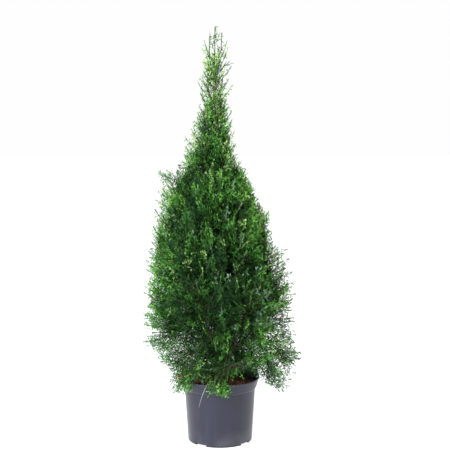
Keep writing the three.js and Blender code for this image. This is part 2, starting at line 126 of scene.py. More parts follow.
# The growing rule of the part's source. Angles are in degrees here and below.
CELL_SQUASH = 0.6
CELL_MARGIN = 0.6
LIMB_MARGIN = 0.6
POT_MARGIN = 2
BOUGH_BEND = 0.55
BOUGH_ELBOW = 0.28
UPRIGHT = 0.08
STEM_RINGS = 3
STEM_LEAD = 0.45
STEM_SLANT = 1.1
STEM_TIP_RADIUS = 1.1
TRUNK_STEM_RADIUS = 1.7
GOLDEN_SHARE = 0.618034
STEM_STRIDE = 0.754878
STEM_START = 0.3
TURN_STRIDE = 0.569840
TURN_START = 0.5
TURN_FAN = 230
OUTWARD = -90
TWIG_SPAN = {"bough": (0.08, 0.92), "trunk": (0.25, 0.92)}
TWIG_LEAN = (84, 40)
LEAN_SPREAD = 16
ROLL_SPREAD = 140
REACH_SHARE = (0.88, 1)
TRIES_PER_TWIG = 3
MARCH_STEP = 3
MARCH_LIMIT = 240
LEAST_REACH = 26
ROOT_SPACE = 3
END_SPRAY_AT = 0.98
SPRAY_SHARE = 0.8
SPRAY_LENGTH = (26, 112)
SPRAY_WIDTH_SHARE = 0.6
STALK_WIDTH = 1.3
STALK_SINK = 1
TOOTH_SPAN = (0.3, 0.74)
NOTCH_STEP = 0.08
NOTCH_DEPTH = 0.45
LAST_TOOTH_WIDTH = 0.08
BLADE_MIDDLE = 0.36
TWIG_TEETH = 2
END_TEETH = 3
SHRINK_TRIES = 3
SHRINK = 0.8

TIERS = [
    dict(name="skirt", count=6, turn=-20, stagger=0, fork=190, fork_spread=26, bough_radius=(4.2, 2.4),
         tip_radius=98, tip_height=232, site=(150, 240), tip=(0.84, 272), rise=-0.1, twigs=7),
    dict(name="lower", count=6, turn=6, stagger=24, fork=214, fork_spread=44, bough_radius=(4.2, 2.4),
         tip_radius=84, tip_height=318, site=(122, 388), tip=(0.8, 458), rise=0.1, twigs=7),
    dict(name="middle", count=5, turn=26, stagger=28, fork=330, fork_spread=48, bough_radius=(3.8, 2.2),
         tip_radius=68, tip_height=470, site=(98, 545), tip=(0.8, 622), rise=0.2, twigs=7),
    dict(name="upper", count=4, turn=15, stagger=28, fork=500, fork_spread=40, bough_radius=(3.4, 2.0),
         tip_radius=50, tip_height=622, site=(72, 698), tip=(0.8, 765), rise=0.3, twigs=7),
    dict(name="shoulder", count=4, turn=60, stagger=26, fork=764, fork_spread=0,
         site=(45, 830), tip=(0.76, 885), rise=0.4, twigs=7),
    dict(name="column", count=3, turn=70, stagger=24, fork=876, fork_spread=0,
         site=(24, 938), tip=(0.64, 980), rise=0.4, twigs=7),
    dict(name="whip", count=3, turn=32, stagger=20, fork=990, fork_spread=0,
         site=(20, 1042), tip=(0.6, 1068), rise=0.5, twigs=5),
    dict(name="crest", count=2, turn=0, stagger=10, fork=1094, fork_spread=0,
         site=(14, 1140), tip=(0.55, 1146), rise=0.5, twigs=5),
]
RIM_SPRIG = dict(name="rim_sprig", azimuth=262, fork=181, elbow=0.7, bough_radius=(3, 2), tip_radius=92,
                 tip_height=212, site=(128, 150), tip=(-14, -136, 158), rise=-0.7, twigs=4)

# How the finer growth goes on in each tier: tries for twigs on a stem, spacing of side twigs, least gap
# between sprays, how far they cross into the next cell, their rise and their kind
Fine = namedtuple("Fine", "tries every gap crossing rise kind")
FINE = {
    "skirt": Fine(34, 18, 11, 14, -0.45, "open"),
    "lower": Fine(52, 13, 8.5, 14, 0.1, "full"),
    "middle": Fine(56, 13, 8, 14, 0.25, "full"),
    "upper": Fine(60, 13, 8, 20, 0.4, "full"),
    "shoulder": Fine(58, 12, 8, 22, 0.5, "full"),
    "column": Fine(48, 13, 8.5, 16, 0.6, "full"),
    "whip": Fine(36, 15, 9, 14, 0.7, "open"),
    "crest": Fine(14, 20, 11, 10, 0.8, "slim"),
    "rim_sprig": Fine(46, 12, 6, 14, -0.7, "full"),
}
# The finer sprays leave the rim bare on a stretch in front, and the soil at the right as seen from there
BARE_SOIL_X = (40, 114)
BARE_SOIL_Y = 80
BARE_SOIL_TOP = 180
BARE_SOIL_SLOPE = 0.265
BARE_TURN = (-68, -12)
BARE_TOP = 224
BARE_RADIUS = 34
# Notches in the crown: ranges of x and of height
NOTCHES = (((-300, -128), (748, 840)), ((6, 32), (1040, 1072)), ((172, 300), (316, 346)))
FINE_LEAST = 14
FINE_LENGTH = (14, 96)
STRETCH = (0.85, 1.15)
SIDE_SPAN = (0.2, 0.85)
SIDE_LEAN = (62, 34)
SIDE_SHIFT = 0.2
SIDE_TURN = 137.5
SIDE_TURN_SPREAD = 90
SIDE_REACH = 100
SIDE_LEAST = 16
SIDE_LENGTH = (14, 84)
SIDE_STALK = 22
# Sprays whose tips stand at given places, most of them on the crown's outline: tip, length and tint
WHIPS = (
    (-12, 0, 1194, 40, "blue"), (6, -4, 1179, 40, "blue"), (-28, -2, 1172, 52, "blue"),
    (-44, -6, 1154, 46, "blue"), (-50, 4, 1132, 40, "yellow"), (20, 4, 1153, 48, "yellow"),
    (24, -8, 1139, 44, "yellow"), (-36, -10, 1110, 44, "yellow"), (-24, -12, 1124, 50, "yellow"),
    (-8, -12, 1118, 50, "yellow"), (4, -8, 1108, 50, "yellow"), (-16, -14, 1090, 50, "yellow"),
    (37, -4, 1093, 30, "blue"), (31, 2, 1080, 24, "mid"), (28, -4, 1097, 34, "blue"),
    (-47, 2, 1096, 36, "yellow"), (-46, -6, 1070, 32, "bright"), (-59, -8, 1034, 40, "bright"),
    (-50, 6, 1052, 34, "mid"), (25, -10, 1049, 36, "mid"), (36, 0, 1031, 44, "bright"),
    (-51, -8, 996, 38, "bright"), (-60, 0, 973, 40, "mid"), (25, -8, 970, 40, "mid"),
    (33, 0, 952, 42, "mid"), (-72, -10, 930, 42, "bright"), (-80, 0, 905, 42, "mid"),
    (-98, -8, 882, 46, "mid"), (34, -12, 926, 46, "mid"), (41, -8, 898, 44, "bright"),
    (46, -4, 866, 46, "mid"), (34, -20, 842, 46, "bright"), (20, -34, 838, 50, "mid"),
    (34, -30, 822, 50, "bright"), (26, -40, 806, 54, "mid"), (53, -24, 826, 50, "bright"),
    (60, -10, 812, 50, "bright"), (68, -8, 796, 50, "mid"), (62, -30, 786, 50, "mid"),
    (70, -36, 764, 54, "deep"), (84, -34, 742, 54, "mid"), (76, -50, 724, 54, "bright"),
    (94, -36, 722, 54, "deep"), (77, -14, 782, 54, "bright"), (85, -10, 766, 54, "mid"),
    (92, -16, 752, 54, "bright"), (100, -12, 734, 54, "yellow"), (104, -20, 716, 54, "bright"),
    (6, -128, 732, 110, "bright"), (-27, -96, 796, 80, "yellow"), (46, -124, 642, 56, "yellow"),
    (54, -150, 538, 56, "yellow"), (-88, -150, 566, 66, "bright"), (-104, -140, 548, 60, "yellow"),
    (-112, -10, 782, 60, "bright"), (-160, -6, 776, 66, "blue"), (-176, -12, 786, 62, "blue"),
    (-152, -20, 793, 60, "mid"), (-120, -14, 800, 60, "mid"), (-108, -10, 816, 50, "bright"),
    (-96, -30, 806, 56, "bright"), (-70, -36, 792, 60, "bright"), (-84, -30, 776, 60, "bright"),
    (-60, -44, 772, 56, "mid"), (-98, -40, 760, 60, "bright"), (-222, -20, 292, 84, "blue"),
    (-214, -26, 278, 80, "blue"), (-216, -12, 286, 70, "blue"), (-211, -6, 300, 70, "mid"),
    (-140, -70, 296, 70, "mid"), (-94, -84, 150, 60, "mid"), (-106, -72, 146, 66, "blue"),
    (14, -10, 1026, 40, "mid"), (21, -6, 1010, 44, "bright"), (-126, -80, 276, 66, "deep"),
    (-222, -6, 366, 70, "mid"), (-219, -20, 346, 66, "mid"), (-182, -30, 262, 76, "mid"),
    (-170, -40, 236, 72, "blue"), (-150, -30, 214, 70, "mid"), (22, -132, 152, 62, "mid"),
    (6, -136, 158, 58, "bright"), (-10, -134, 166, 52, "mid"), (34, -128, 170, 58, "mid"),
    (-30, -128, 176, 50, "deep"), (-207, -10, 553, 76, "mid"), (-203, -30, 541, 70, "bright"),
    (-212, -5, 529, 76, "mid"), (-199, -20, 565, 66, "blue"), (-205, -16, 513, 70, "mid"),
    (-210, -8, 497, 70, "blue"), (-184, -14, 600, 60, "mid"), (112, -24, 694, 50, "yellow"),
    (118, -12, 682, 50, "bright"), (130, -10, 670, 60, "bright"), (124, -34, 654, 54, "yellow"),
    (140, -8, 645, 60, "mid"), (144, -20, 620, 60, "bright"), (150, -8, 604, 60, "blue"),
    (154, -24, 584, 60, "mid"), (196, -10, 560, 84, "blue"), (184, -24, 552, 70, "mid"),
    (202, -6, 535, 84, "blue"), (192, -30, 520, 72, "mid"), (209, -12, 494, 76, "blue"),
    (218, -8, 470, 84, "blue"), (206, -24, 452, 72, "mid"), (222, -10, 430, 70, "bright"),
    (222, -16, 310, 80, "blue"), (236, -6, 232, 90, "blue"), (222, -36, 206, 92, "blue"),
    (206, -30, 158, 96, "blue"), (186, -28, 160, 92, "blue"), (168, -60, 166, 88, "blue"),
    (188, -40, 148, 96, "mid"), (172, -50, 150, 92, "blue"), (156, -64, 168, 88, "mid"),
    (140, -76, 186, 80, "blue"),
)
WHIP_OUT = 0.012
WHIP_RISE = 1
WHIP_DROOP = -0.15
WHIP_LEVEL = 460
SLIM_ABOVE = 860
HOLD_SHARE = 0.3
HOLD_STEP = 4
OUTER_BLADE = 0.85
OUTER_STALK = (0.08, 0.28)
OUTER_ROLL = 70
# Loose sprays in rows all round the crown, which end a little in or out of its outline, and rows
# further in that fill the seams between the tiers. Their rise goes by height.
FRINGE_SPAN = (208, 1050)
FRINGE_STEP = 29
FRINGE_LENGTH = (42, 78)
FRINGE_LEAST_SHARE = 0.5
FRINGE_WIDTH = 160
FRINGE_OUT = (-12, 9)
FRINGE_DEEPEST = 0.7
FRINGE_SLIM_SHARE = 0.3
SEAM_SPANS = ((312, 350), (470, 520), (742, 850))
SEAM_OUT = (-70, -24)
SEAM_STEP = 18
FRINGE_RISE = ((205, 330, 450, 600, 900), (-0.7, 0, 0.5, 1.1, 2.2))
# Tufts: three over the rim, three low at the right, three at the shoulders and one up the leader. A tuft's
# tips are lowest at its middle and rise with a slope from there.
Tuft = namedtuple("Tuft", "count x y low middle slope rise length heading kind tints")
TUFTS = (
    Tuft(40, (-38, 30), (-121, -136), 154, 12, 0.5, 34, (36, 60), (0.14, -0.7, -0.6), "full",
         ("mid", "bright", "mid", "mid", "deep", "yellow")),
    Tuft(34, (-144, -62), (-60, -104), 148, -116, 0.55, 36, (50, 84), (-0.3, -0.4, -0.7), "open",
         ("mid", "blue", "mid", "bright", "blue")),
    Tuft(8, (135, 215), (-20, -60), 160, 185, 0.35, 45, (60, 96), (0.55, -0.25, -0.45), "open",
         ("blue", "mid", "blue")),
    Tuft(12, (108, 172), (-60, -110), 274, 140, 0, 50, (56, 84), (0.6, -0.3, 0), "full",
         ("mid", "deep", "mid")),
    Tuft(16, (44, 118), (-50, 60), 200, 80, 0, 34, (50, 80), (0.6, -0.2, -0.1), "full",
         ("dark", "deep", "dark")),
    Tuft(24, (68, 112), (6, 54), 180, 90, 0, 17, (50, 80), (0.8, 0.1, -0.35), "full",
         ("deep", "mid", "dark")),
    Tuft(14, (54, 98), (-40, 10), 800, 54, -1.7, 16, (40, 60), (0.2, 0, 1), "open",
         ("mid", "bright", "deep")),
    Tuft(4, (-178, -142), (-20, 10), 758, -150, 0, 24, (50, 76), (-0.35, 0, 1), "open", ("blue", "mid")),
    Tuft(10, (108, 141), (-40, 0), 688, 108, -1.2, 16, (50, 70), (0.2, 0, 1), "full",
         ("mid", "bright", "yellow")),
    Tuft(22, (-46, 10), (-18, 2), 1076, -11, 0, 66, (40, 56), (0, 0, 1), "slim",
         ("yellow", "yellow", "bright")),
)
TUFT_SPREAD = 0.012
# Shaded sprays on the boughs and the trunk, then short sprays round the leader
INNER_EVERY = 4
INNER_SPAN = (0.12, 1)
INNER_REACH = (64, 100)
INNER_LEAN = (75, 50)
INNER_RISE = 0.2
TRUNK_SPAN = (225, 940)
LEADER_SPAN = (720, 1176)
LEADER_EVERY = 5
LEADER_SLIM = 1010
LEADER_LEAN = (56, 20)
LEADER_REACH = (60, 27)

# Tints of the leaf sprays, each in three tones from the inner branchlets to the outer ones, and the share of
# each tint in each tier. The dark and deep tints are painted shade and the bright one is painted light; the
# inner sprays take only the painted shade.
TONES = 3
TINTS = ("dark", "deep", "mid", "bright", "yellow", "blue", "brown")
TINT_SHARES = {
    "skirt": (0, 0.22, 0.33, 0.12, 0, 0.33, 0),
    "lower": (0.04, 0.24, 0.38, 0.17, 0.04, 0.13, 0),
    "middle": (0.04, 0.26, 0.42, 0.24, 0.03, 0.01, 0),
    "upper": (0, 0.18, 0.44, 0.32, 0.06, 0, 0),
    "shoulder": (0, 0.12, 0.38, 0.36, 0.14, 0, 0),
    "column": (0, 0.04, 0.26, 0.38, 0.32, 0, 0),
    "whip": (0, 0, 0.12, 0.28, 0.48, 0.12, 0),
    "crest": (0, 0, 0.05, 0.20, 0.40, 0.35, 0),
    "leader": (0, 0, 0.24, 0.40, 0.28, 0.08, 0),
    "inner": (0.6, 0.4, 0, 0, 0, 0, 0),
    "fringe": (0, 0.08, 0.34, 0.26, 0.06, 0.26, 0),
    "rim_sprig": (0, 0.1, 0.4, 0.4, 0.1, 0, 0),
}
# Sprays this far inside the crown's outline turn from their tier's tints to the dark and deep ones, as
# painted shade
SHADE_DEPTH = (16, 64)
SHADE_SHARES = TINT_SHARES["inner"]


# Small helpers

def fraction(value):
    return value - math.floor(value)


def lerp(ends, share):
    """The value at a share of the way between two ends."""
    return ends[0] + (ends[1] - ends[0]) * share


def unit(vector):
    return vector / np.linalg.norm(vector, axis=-1, keepdims=True)


def smooth(share):
    share = np.clip(share, 0, 1)
    return share * share * (3 - 2 * share)


def polar(centre_x, radius, azimuth, height):
    angle = math.radians(azimuth)
    return np.array([centre_x + radius * math.cos(angle), radius * math.sin(angle), height])


def random_turn(spread, draw):
    """A random angle to either side, in radians."""
    return math.radians(spread * (draw() - 0.5))


def random_lean(leans, share, draw):
    """A lean at a share of the way between two, varied at random, in radians."""
    return math.radians(lerp(leans, share) + LEAN_SPREAD * (draw() - 0.5))


class SeededRandom:
    """Linear congruential generator, the same as in the part's source."""

    def __init__(self, seed):
        self.state = seed
        self.draw()

    def draw(self):
        self.state = (self.state * 1664525 + 1013904223) % 2 ** 32
        return self.state / 2 ** 32


def crown_at(height, outline=CROWN_OUTLINE):
    """Centre and half width of the crown at a height."""
    rows = outline.T
    left = np.interp(height, rows[0], rows[1])
    right = np.interp(height, rows[0], rows[2])
    return (left + right) / 2, (right - left) / 2


# Limbs

TRUNK_FOOT = GROUND + CLEAR
TRUNK_LENGTH = TRUNK_TOP - TRUNK_FOOT


def trunk_share(height):
    return np.clip((height - TRUNK_FOOT) / TRUNK_LENGTH, 0, 1)


def trunk_point(share):
    share = np.asarray(share, float)
    lean = -TRUNK_LEAN * smooth(share / LEAN_SHARE)
    sway = TRUNK_SWAY * np.sin(share * 3 * math.pi) * (1 - share)
    depth = TRUNK_DEPTH_SWAY * np.sin(share * 2 * math.pi)
    return np.stack([lean + sway, depth, TRUNK_FOOT + TRUNK_LENGTH * share], axis=-1)


def trunk_radius(share):
    flare = FLARE_RADIUS * np.exp(-share * TRUNK_LENGTH / FLARE_HEIGHT)
    return lerp((TRUNK_RADIUS, TRUNK_TIP_RADIUS), share ** TAPER_POWER) + flare


def trunk_at(height):
    return trunk_point(trunk_share(height))


def trunk_radius_at(height):
    return float(trunk_radius(trunk_share(height)))


# A stem's end can point straight up, so its tangent is taken a hair before
LAST_TANGENT = 0.99995


class Bend:
    """A curve from start to end, drawn towards middle."""

    def __init__(self, start, middle, end):
        self.start, self.middle, self.end = start, middle, end

    def point(self, share):
        share = np.asarray(share, float)[..., None]
        early, late = lerp((self.start, self.middle), share), lerp((self.middle, self.end), share)
        return lerp((early, late), share)

    def tangent(self, share):
        share = np.minimum(np.asarray(share, float), LAST_TANGENT)[..., None]
        return unit(lerp((self.middle - self.start, self.end - self.middle), share))


def axes_of(tangent):
    """Sideways and upwards axes of a direction, the sideways one level."""
    sideways = ASIDE
    if math.hypot(tangent[0], tangent[1]) > UPRIGHT:
        sideways = np.cross(tangent, UP)
    upwards = unit(np.cross(sideways, tangent))
    return unit(np.cross(tangent, upwards)), upwards


def point_on_limb(curve, share):
    """Point on the straight stretches between a stem's rings."""
    ring = min(math.floor(share * STEM_RINGS), STEM_RINGS - 1)
    ends = curve.point(np.array([ring, ring + 1]) / STEM_RINGS)
    return lerp(ends, share * STEM_RINGS - ring)


# Plan of the crown: each mass with its bough, its stem and its middle

def make_mass(tier, index, **changes):
    usual = {"elbow": BOUGH_ELBOW, "tip_radius": None}
    mass = SimpleNamespace(**{**usual, **tier, "tier": tier["name"], **changes})
    mass.seed = MASS_SEED + MASS_SEED_STEP * index
    mass.centre = polar(crown_at(mass.site[1])[0], mass.site[0], mass.azimuth, mass.site[1])
    if len(mass.tip) == 3:
        tip = np.array(mass.tip, float)
    else:
        centre, half_width = crown_at(mass.tip[1])
        tip = polar(centre, mass.tip[0] * half_width, mass.azimuth, mass.tip[1])
    root = trunk_at(mass.fork)
    if mass.tip_radius:
        end = polar(trunk_at(mass.tip_height)[0], mass.tip_radius, mass.azimuth, mass.tip_height)
        middle = lerp((root, end), BOUGH_BEND)
        middle[2] = lerp((mass.fork, mass.tip_height), mass.elbow)
        mass.bough = Bend(root, middle, end)
        tangent = mass.bough.tangent(1.0)
        root = end + tangent * CLEAR
        mass.stem = Bend(root, root + tangent * STEM_LEAD * np.linalg.norm(tip - root), tip)
        mass.stem_radius = mass.bough_radius[1]
    else:
        outward = math.hypot(tip[0] - root[0], tip[1] - root[1])
        mass.bough = None
        mass.stem = Bend(root, np.array([tip[0], tip[1], mass.fork + STEM_SLANT * outward]), tip)
        mass.stem_radius = TRUNK_STEM_RADIUS
    return mass


@cache
def plan_masses():
    """Every mass of the crown, in the order of the part's source."""
    masses = []
    for tier in TIERS:
        for i in range(tier["count"]):
            shift = tier["stagger"] * (2 * fraction(0.5 + i * GOLDEN_SHARE) - 1)
            masses.append(make_mass(
                tier, len(masses), number=i + 1, azimuth=tier["turn"] + 360 * i / tier["count"],
                fork=tier["fork"] + shift + tier["fork_spread"] * fraction(i * GOLDEN_SHARE),
                tip_height=tier.get("tip_height", 0) + shift,
                site=(tier["site"][0], tier["site"][1] + shift),
                tip=(tier["tip"][0], tier["tip"][1] + shift)))
    masses.append(make_mass(RIM_SPRIG, len(masses), number=None))
    return masses


# Points of the straight stretches that stand for the trunk and for a bough
TRUNK_POINTS = 41
BOUGH_POINTS = 9


@cache
def limb_stretches():
    """The trunk and boughs as straight stretches: starts, spans and radii."""
    starts, ends, radii, late_radii = [], [], [], []

    def add(points, radius):
        starts.extend(points[:-1])
        ends.extend(points[1:])
        radii.extend(radius[:-1])
        late_radii.extend(radius[1:])

    shares = np.linspace(0, 1, TRUNK_POINTS)
    add(trunk_point(shares), trunk_radius(shares))
    shares = np.linspace(0, 1, BOUGH_POINTS)
    for mass in plan_masses():
        if mass.bough:
            add(mass.bough.point(shares), lerp(mass.bough_radius, shares))
    starts, ends, radii, late_radii = map(np.array, (starts, ends, radii, late_radii))
    return starts, ends - starts, radii, late_radii - radii


def left_bare(points):
    """Whether points lie where the rim or the soil shows bare in front, or in a notch of the crown."""
    x, y, z = points.T
    turn = np.degrees(np.arctan2(y, x))
    rim = (z < BARE_TOP) & (turn > BARE_TURN[0]) & (turn < BARE_TURN[1]) & (np.hypot(x, y) > BARE_RADIUS)
    soil = (z < BARE_SOIL_TOP - BARE_SOIL_SLOPE * y) & (y < BARE_SOIL_Y)
    bare = rim | (soil & (x > BARE_SOIL_X[0]) & (x < BARE_SOIL_X[1]))
    for (left, right), (low, high) in NOTCHES:
        bare |= (x > left) & (x < right) & (z > low) & (z < high)
    return bare


class Room:
    """The space that sprays keep to: a mass's own cell, or else the whole crown, clear of pot and limbs."""

    def __init__(self, mass=None, margin=CELL_MARGIN, dense=False):
        self.margin, self.dense = margin, dense
        self.walls = self.outward = np.empty((0, 3))
        if mass:
            others = np.array([other.centre for other in plan_masses() if other is not mass])
            spans = others - mass.centre
            self.walls = mass.centre + spans / 2
            self.outward = unit(spans * [1, 1, CELL_SQUASH ** 2])

    def holds(self, points):
        """Whether each point lies in the room."""
        x, y, z = points.T
        centre, half_width = crown_at(z, DENSE_OUTLINE if self.dense else CROWN_OUTLINE)
        inside = (z < CROWN_TOP) & (np.hypot(x - centre, y) < half_width)
        inside &= (z > POT_HEIGHT + POT_MARGIN) | (np.hypot(x, y) > RIM_RADIUS + POT_MARGIN)
        if self.dense:
            inside &= ~left_bare(points)
        past_wall = ((points[:, None] - self.walls) * self.outward).sum(axis=-1)
        inside &= (past_wall < -self.margin).all(axis=1)
        starts, spans, radii, change = limb_stretches()
        offsets = points[:, None] - starts
        shares = np.clip((offsets * spans).sum(axis=-1) / (spans * spans).sum(axis=-1), 0, 1)
        distance = np.linalg.norm(offsets - shares[..., None] * spans, axis=-1)
        return inside & (distance >= radii + change * shares + LIMB_MARGIN).all(axis=1)

    def reach(self, origin, direction, start, limit):
        """How far a ray runs inside the room."""
        steps = start + MARCH_STEP * np.arange(1, math.ceil((limit - start) / MARCH_STEP) + 1)
        held = self.holds(origin + direction * steps[:, None])
        count = len(steps) if held.all() else int(np.argmin(held))
        return start + MARCH_STEP * count


# A leaf spray: where it is rooted, its axes, the bare stalk before it, its length, its level (or its tint)
# and its kind
Spray = namedtuple("Spray", "root along across stalk length level kind", defaults=["full"])


def spray_rim(root, along, across, stalk, length, teeth):
    """Points on the outline of a spray."""
    width = length * SPRAY_WIDTH_SHARE
    side = [(-STALK_SINK, STALK_WIDTH), (stalk, STALK_WIDTH)]
    for i in range(teeth):
        share = lerp(TOOTH_SPAN, i / (teeth - 1))
        half = 0.5 * width * (1 - share) / (1 - TOOTH_SPAN[0]) + LAST_TOOTH_WIDTH * width
        side.append((stalk + share * length, half))
        if i < teeth - 1:
            side.append((stalk + (share + NOTCH_STEP) * length, half * NOTCH_DEPTH))
    u, v = np.array(side).T[..., None]
    tip = root + along * (stalk + length)
    return np.vstack([tip, root + along * u + across * v, root + along * u - across * v])


def fit_spray(room, root, along, reach, roll, teeth, start, lengths, level):
    """A spray shrunk until it fits its room, or None."""
    length = min(max(reach * SPRAY_SHARE, lengths[0]), lengths[1])
    stalk = max(reach - length, start)
    level_axis = unit(np.cross(along, UP))
    upright = np.cross(level_axis, along)
    across = upright * math.cos(roll) + level_axis * math.sin(roll)
    for _ in range(SHRINK_TRIES):
        rim = spray_rim(root, along, across, stalk, length, teeth)
        outside = rim[np.linalg.norm(rim - root, axis=1) > start]
        if room.holds(outside).all():
            return Spray(root, along, across, stalk, length, level)
        length *= SHRINK
        stalk *= SHRINK
    return None


def lean_from(tangent, lean, turn, rise):
    """A direction that leans from a tangent, turned round it, and rises."""
    sideways, upwards = axes_of(tangent)
    spread = sideways * math.cos(turn) + upwards * math.sin(turn)
    return unit(tangent * math.cos(lean) + spread * math.sin(lean) + UP * rise)


class Growth:
    """The sprays of one mass: first those of the part's source, then finer ones by the same rule."""

    def __init__(self, mass):
        self.mass = mass
        self.room = Room(mass)
        self.fine = FINE[mass.tier]
        self.fine_room = Room(mass, -self.fine.crossing, dense=True)
        self.random = SeededRandom(mass.seed)
        self.sprays = []
        self.middles = []
        self.grow_twigs()
        self.grow_side_twigs()

    def keep(self, spray):
        """Keeps a spray unless it crowds another or lies in a bare place."""
        if spray is None:
            return
        middle = spray.root + spray.along * (spray.stalk + BLADE_MIDDLE * spray.length)
        tip = spray.root + spray.along * (spray.stalk + spray.length)
        if left_bare(np.array([middle, tip])).any():
            return
        if self.middles and np.linalg.norm(np.array(self.middles) - middle, axis=1).min() < self.fine.gap:
            return
        self.middles.append(middle)
        spray = spray._replace(kind=self.fine.kind)
        if spray.level > 1:
            spray = spray._replace(length=spray.length * lerp(STRETCH, self.random.draw()))
        self.sprays.append(spray)

    def grow(self, share, direction, reach_share, roll, teeth, fine=False):
        root = point_on_limb(self.mass.stem, share)
        room = self.fine_room if fine else self.room
        start = ROOT_SPACE
        if not self.mass.bough:
            start += trunk_radius_at(root[2])
        reach = reach_share * room.reach(root, direction, start, MARCH_LIMIT)
        if reach >= (FINE_LEAST if fine else LEAST_REACH):
            lengths = FINE_LENGTH if fine else SPRAY_LENGTH
            self.keep(fit_spray(room, root, direction, reach, roll, teeth, start, lengths, 1))

    def grow_twigs(self):
        """One spray ends the stem, and twigs with sprays leave it: outward first, then all round."""
        mass, draw = self.mass, self.random.draw
        self.grow(END_SPRAY_AT, mass.stem.tangent(1.0), 1, draw() - 0.5, END_TEETH)
        span = TWIG_SPAN["bough" if mass.bough else "trunk"]
        for k in range(self.fine.tries):
            share = lerp(span, fraction(STEM_START + k * STEM_STRIDE))
            fine = k >= TRIES_PER_TWIG * mass.twigs
            fan = 360 if fine else TURN_FAN
            turn = math.radians(OUTWARD + fan * (fraction(TURN_START + k * TURN_STRIDE) - 0.5))
            lean = random_lean(TWIG_LEAN, share, draw)
            reach_share = lerp(REACH_SHARE, draw())
            roll = random_turn(ROLL_SPREAD, draw)
            direction = lean_from(mass.stem.tangent(share), lean, turn, self.fine.rise if fine else mass.rise)
            self.grow(share, direction, reach_share, roll, TWIG_TEETH, fine)

    def grow_side_twigs(self):
        """Side twigs with smaller sprays leave each twig."""
        draw, room = self.random.draw, self.fine_room
        for twig in list(self.sprays):
            whole = twig.stalk + twig.length
            for j in range(round(whole / self.fine.every)):
                at = lerp(SIDE_SPAN, fraction(STEM_START + j * STEM_STRIDE + SIDE_SHIFT * draw()))
                root = twig.root + twig.along * at * whole
                turn = math.radians(SIDE_TURN * j + SIDE_TURN_SPREAD * draw())
                lean = random_lean(SIDE_LEAN, at, draw)
                roll = random_turn(ROLL_SPREAD, draw)
                direction = lean_from(twig.along, lean, turn, self.fine.rise)
                reach = room.reach(root, direction, 0, SIDE_REACH) * lerp(REACH_SHARE, draw())
                if reach < SIDE_LEAST:
                    continue
                reach = min(reach, SIDE_LENGTH[1] + SIDE_STALK)
                self.keep(fit_spray(room, root, direction, reach, roll, TWIG_TEETH, 1, SIDE_LENGTH, 2))


@cache
def grown_masses():
    return [Growth(mass) for mass in plan_masses()]


@cache
def spray_holds():
    """Points of the twigs and the leader that further sprays can grow from."""
    twigs = [spray for growth in grown_masses() for spray in growth.sprays]
    holds = [twig.root + twig.along * (twig.stalk + HOLD_SHARE * twig.length) for twig in twigs]
    return np.vstack([holds, trunk_at(np.arange(*LEADER_SPAN, HOLD_STEP))])


def spray_to(tip, heading, length, facing, roll, level, kind):
    """A spray that ends at a tip, grown from the nearest hold about a length behind it."""
    holds = spray_holds()
    root = holds[np.linalg.norm(holds - (tip - heading * length), axis=1).argmin()]
    whole = np.linalg.norm(tip - root)
    along = (tip - root) / whole
    flat = unit(np.cross(along, facing))
    across = flat * math.cos(roll) + np.cross(flat, along) * math.sin(roll)
    stalk = whole * min(max(1 - OUTER_BLADE * length / whole, OUTER_STALK[0]), OUTER_STALK[1])
    return Spray(root, along, across, stalk, whole - stalk, level, kind)


@cache
def whip_sprays():
    """Sprays with tips at given places, and the sprays of the tufts."""
    draw, sprays = SeededRandom(SEEDS["outer"]).draw, []
    for x, y, z, length, tint in WHIPS:
        tip = np.array([x, y, z], float)
        outward = np.array([x - crown_at(z)[0], y, 0])
        heading = unit(outward * WHIP_OUT + UP * (WHIP_RISE if z > WHIP_LEVEL else WHIP_DROOP))
        roll = random_turn(OUTER_ROLL, draw)
        sprays.append(spray_to(tip, heading, length, DEPTH, roll, tint, "slim" if z > SLIM_ABOVE else "open"))
    for tuft in TUFTS:
        for i in range(tuft.count):
            x = lerp(tuft.x, fraction(STEM_START + i * GOLDEN_SHARE))
            aside = x - tuft.middle
            tip = np.array([x, lerp(tuft.y, draw()), tuft.low + tuft.slope * abs(aside) + tuft.rise * draw()])
            heading = unit(np.array(tuft.heading) + [TUFT_SPREAD * aside, 0, 0])
            roll = random_turn(OUTER_ROLL, draw)
            tint = tuft.tints[i % len(tuft.tints)]
            sprays.append(spray_to(tip, heading, lerp(tuft.length, draw()), DEPTH, roll, tint, tuft.kind))
    return sprays


@cache
def fringe_sprays():
    """Loose sprays in rows all round the crown, at its outline and in the seams between the tiers."""
    draw, sprays = SeededRandom(SEEDS["fringe"]).draw, []
    rows = [(row, FRINGE_OUT) for row in np.arange(*FRINGE_SPAN, FRINGE_STEP)]
    rows += [(row, SEAM_OUT) for span in SEAM_SPANS for row in np.arange(*span, SEAM_STEP)]
    for row, out in rows:
        half_width = crown_at(row)[1]
        count = max(round(2 * math.pi * half_width / FRINGE_STEP), 3)
        for i in range(count):
            height = row + FRINGE_STEP * draw()
            centre, half_width = crown_at(height)
            azimuth = 360 * (i + draw()) / count
            past = max(lerp(out, draw()), -FRINGE_DEEPEST * half_width)
            tip = polar(centre, half_width + past, azimuth, height)
            outward = unit(tip - [centre, 0, height])
            heading = unit(outward + UP * np.interp(height, *FRINGE_RISE))
            length = lerp(FRINGE_LENGTH, draw()) * min(1, FRINGE_LEAST_SHARE + half_width / FRINGE_WIDTH)
            roll = random_turn(OUTER_ROLL, draw)
            kind = "slim" if height > SLIM_ABOVE or draw() < FRINGE_SLIM_SHARE else "open"
            if not left_bare(tip[None])[0]:
                sprays.append(spray_to(tip, heading, length, np.cross(UP, outward), roll, 2, kind))
    return sprays


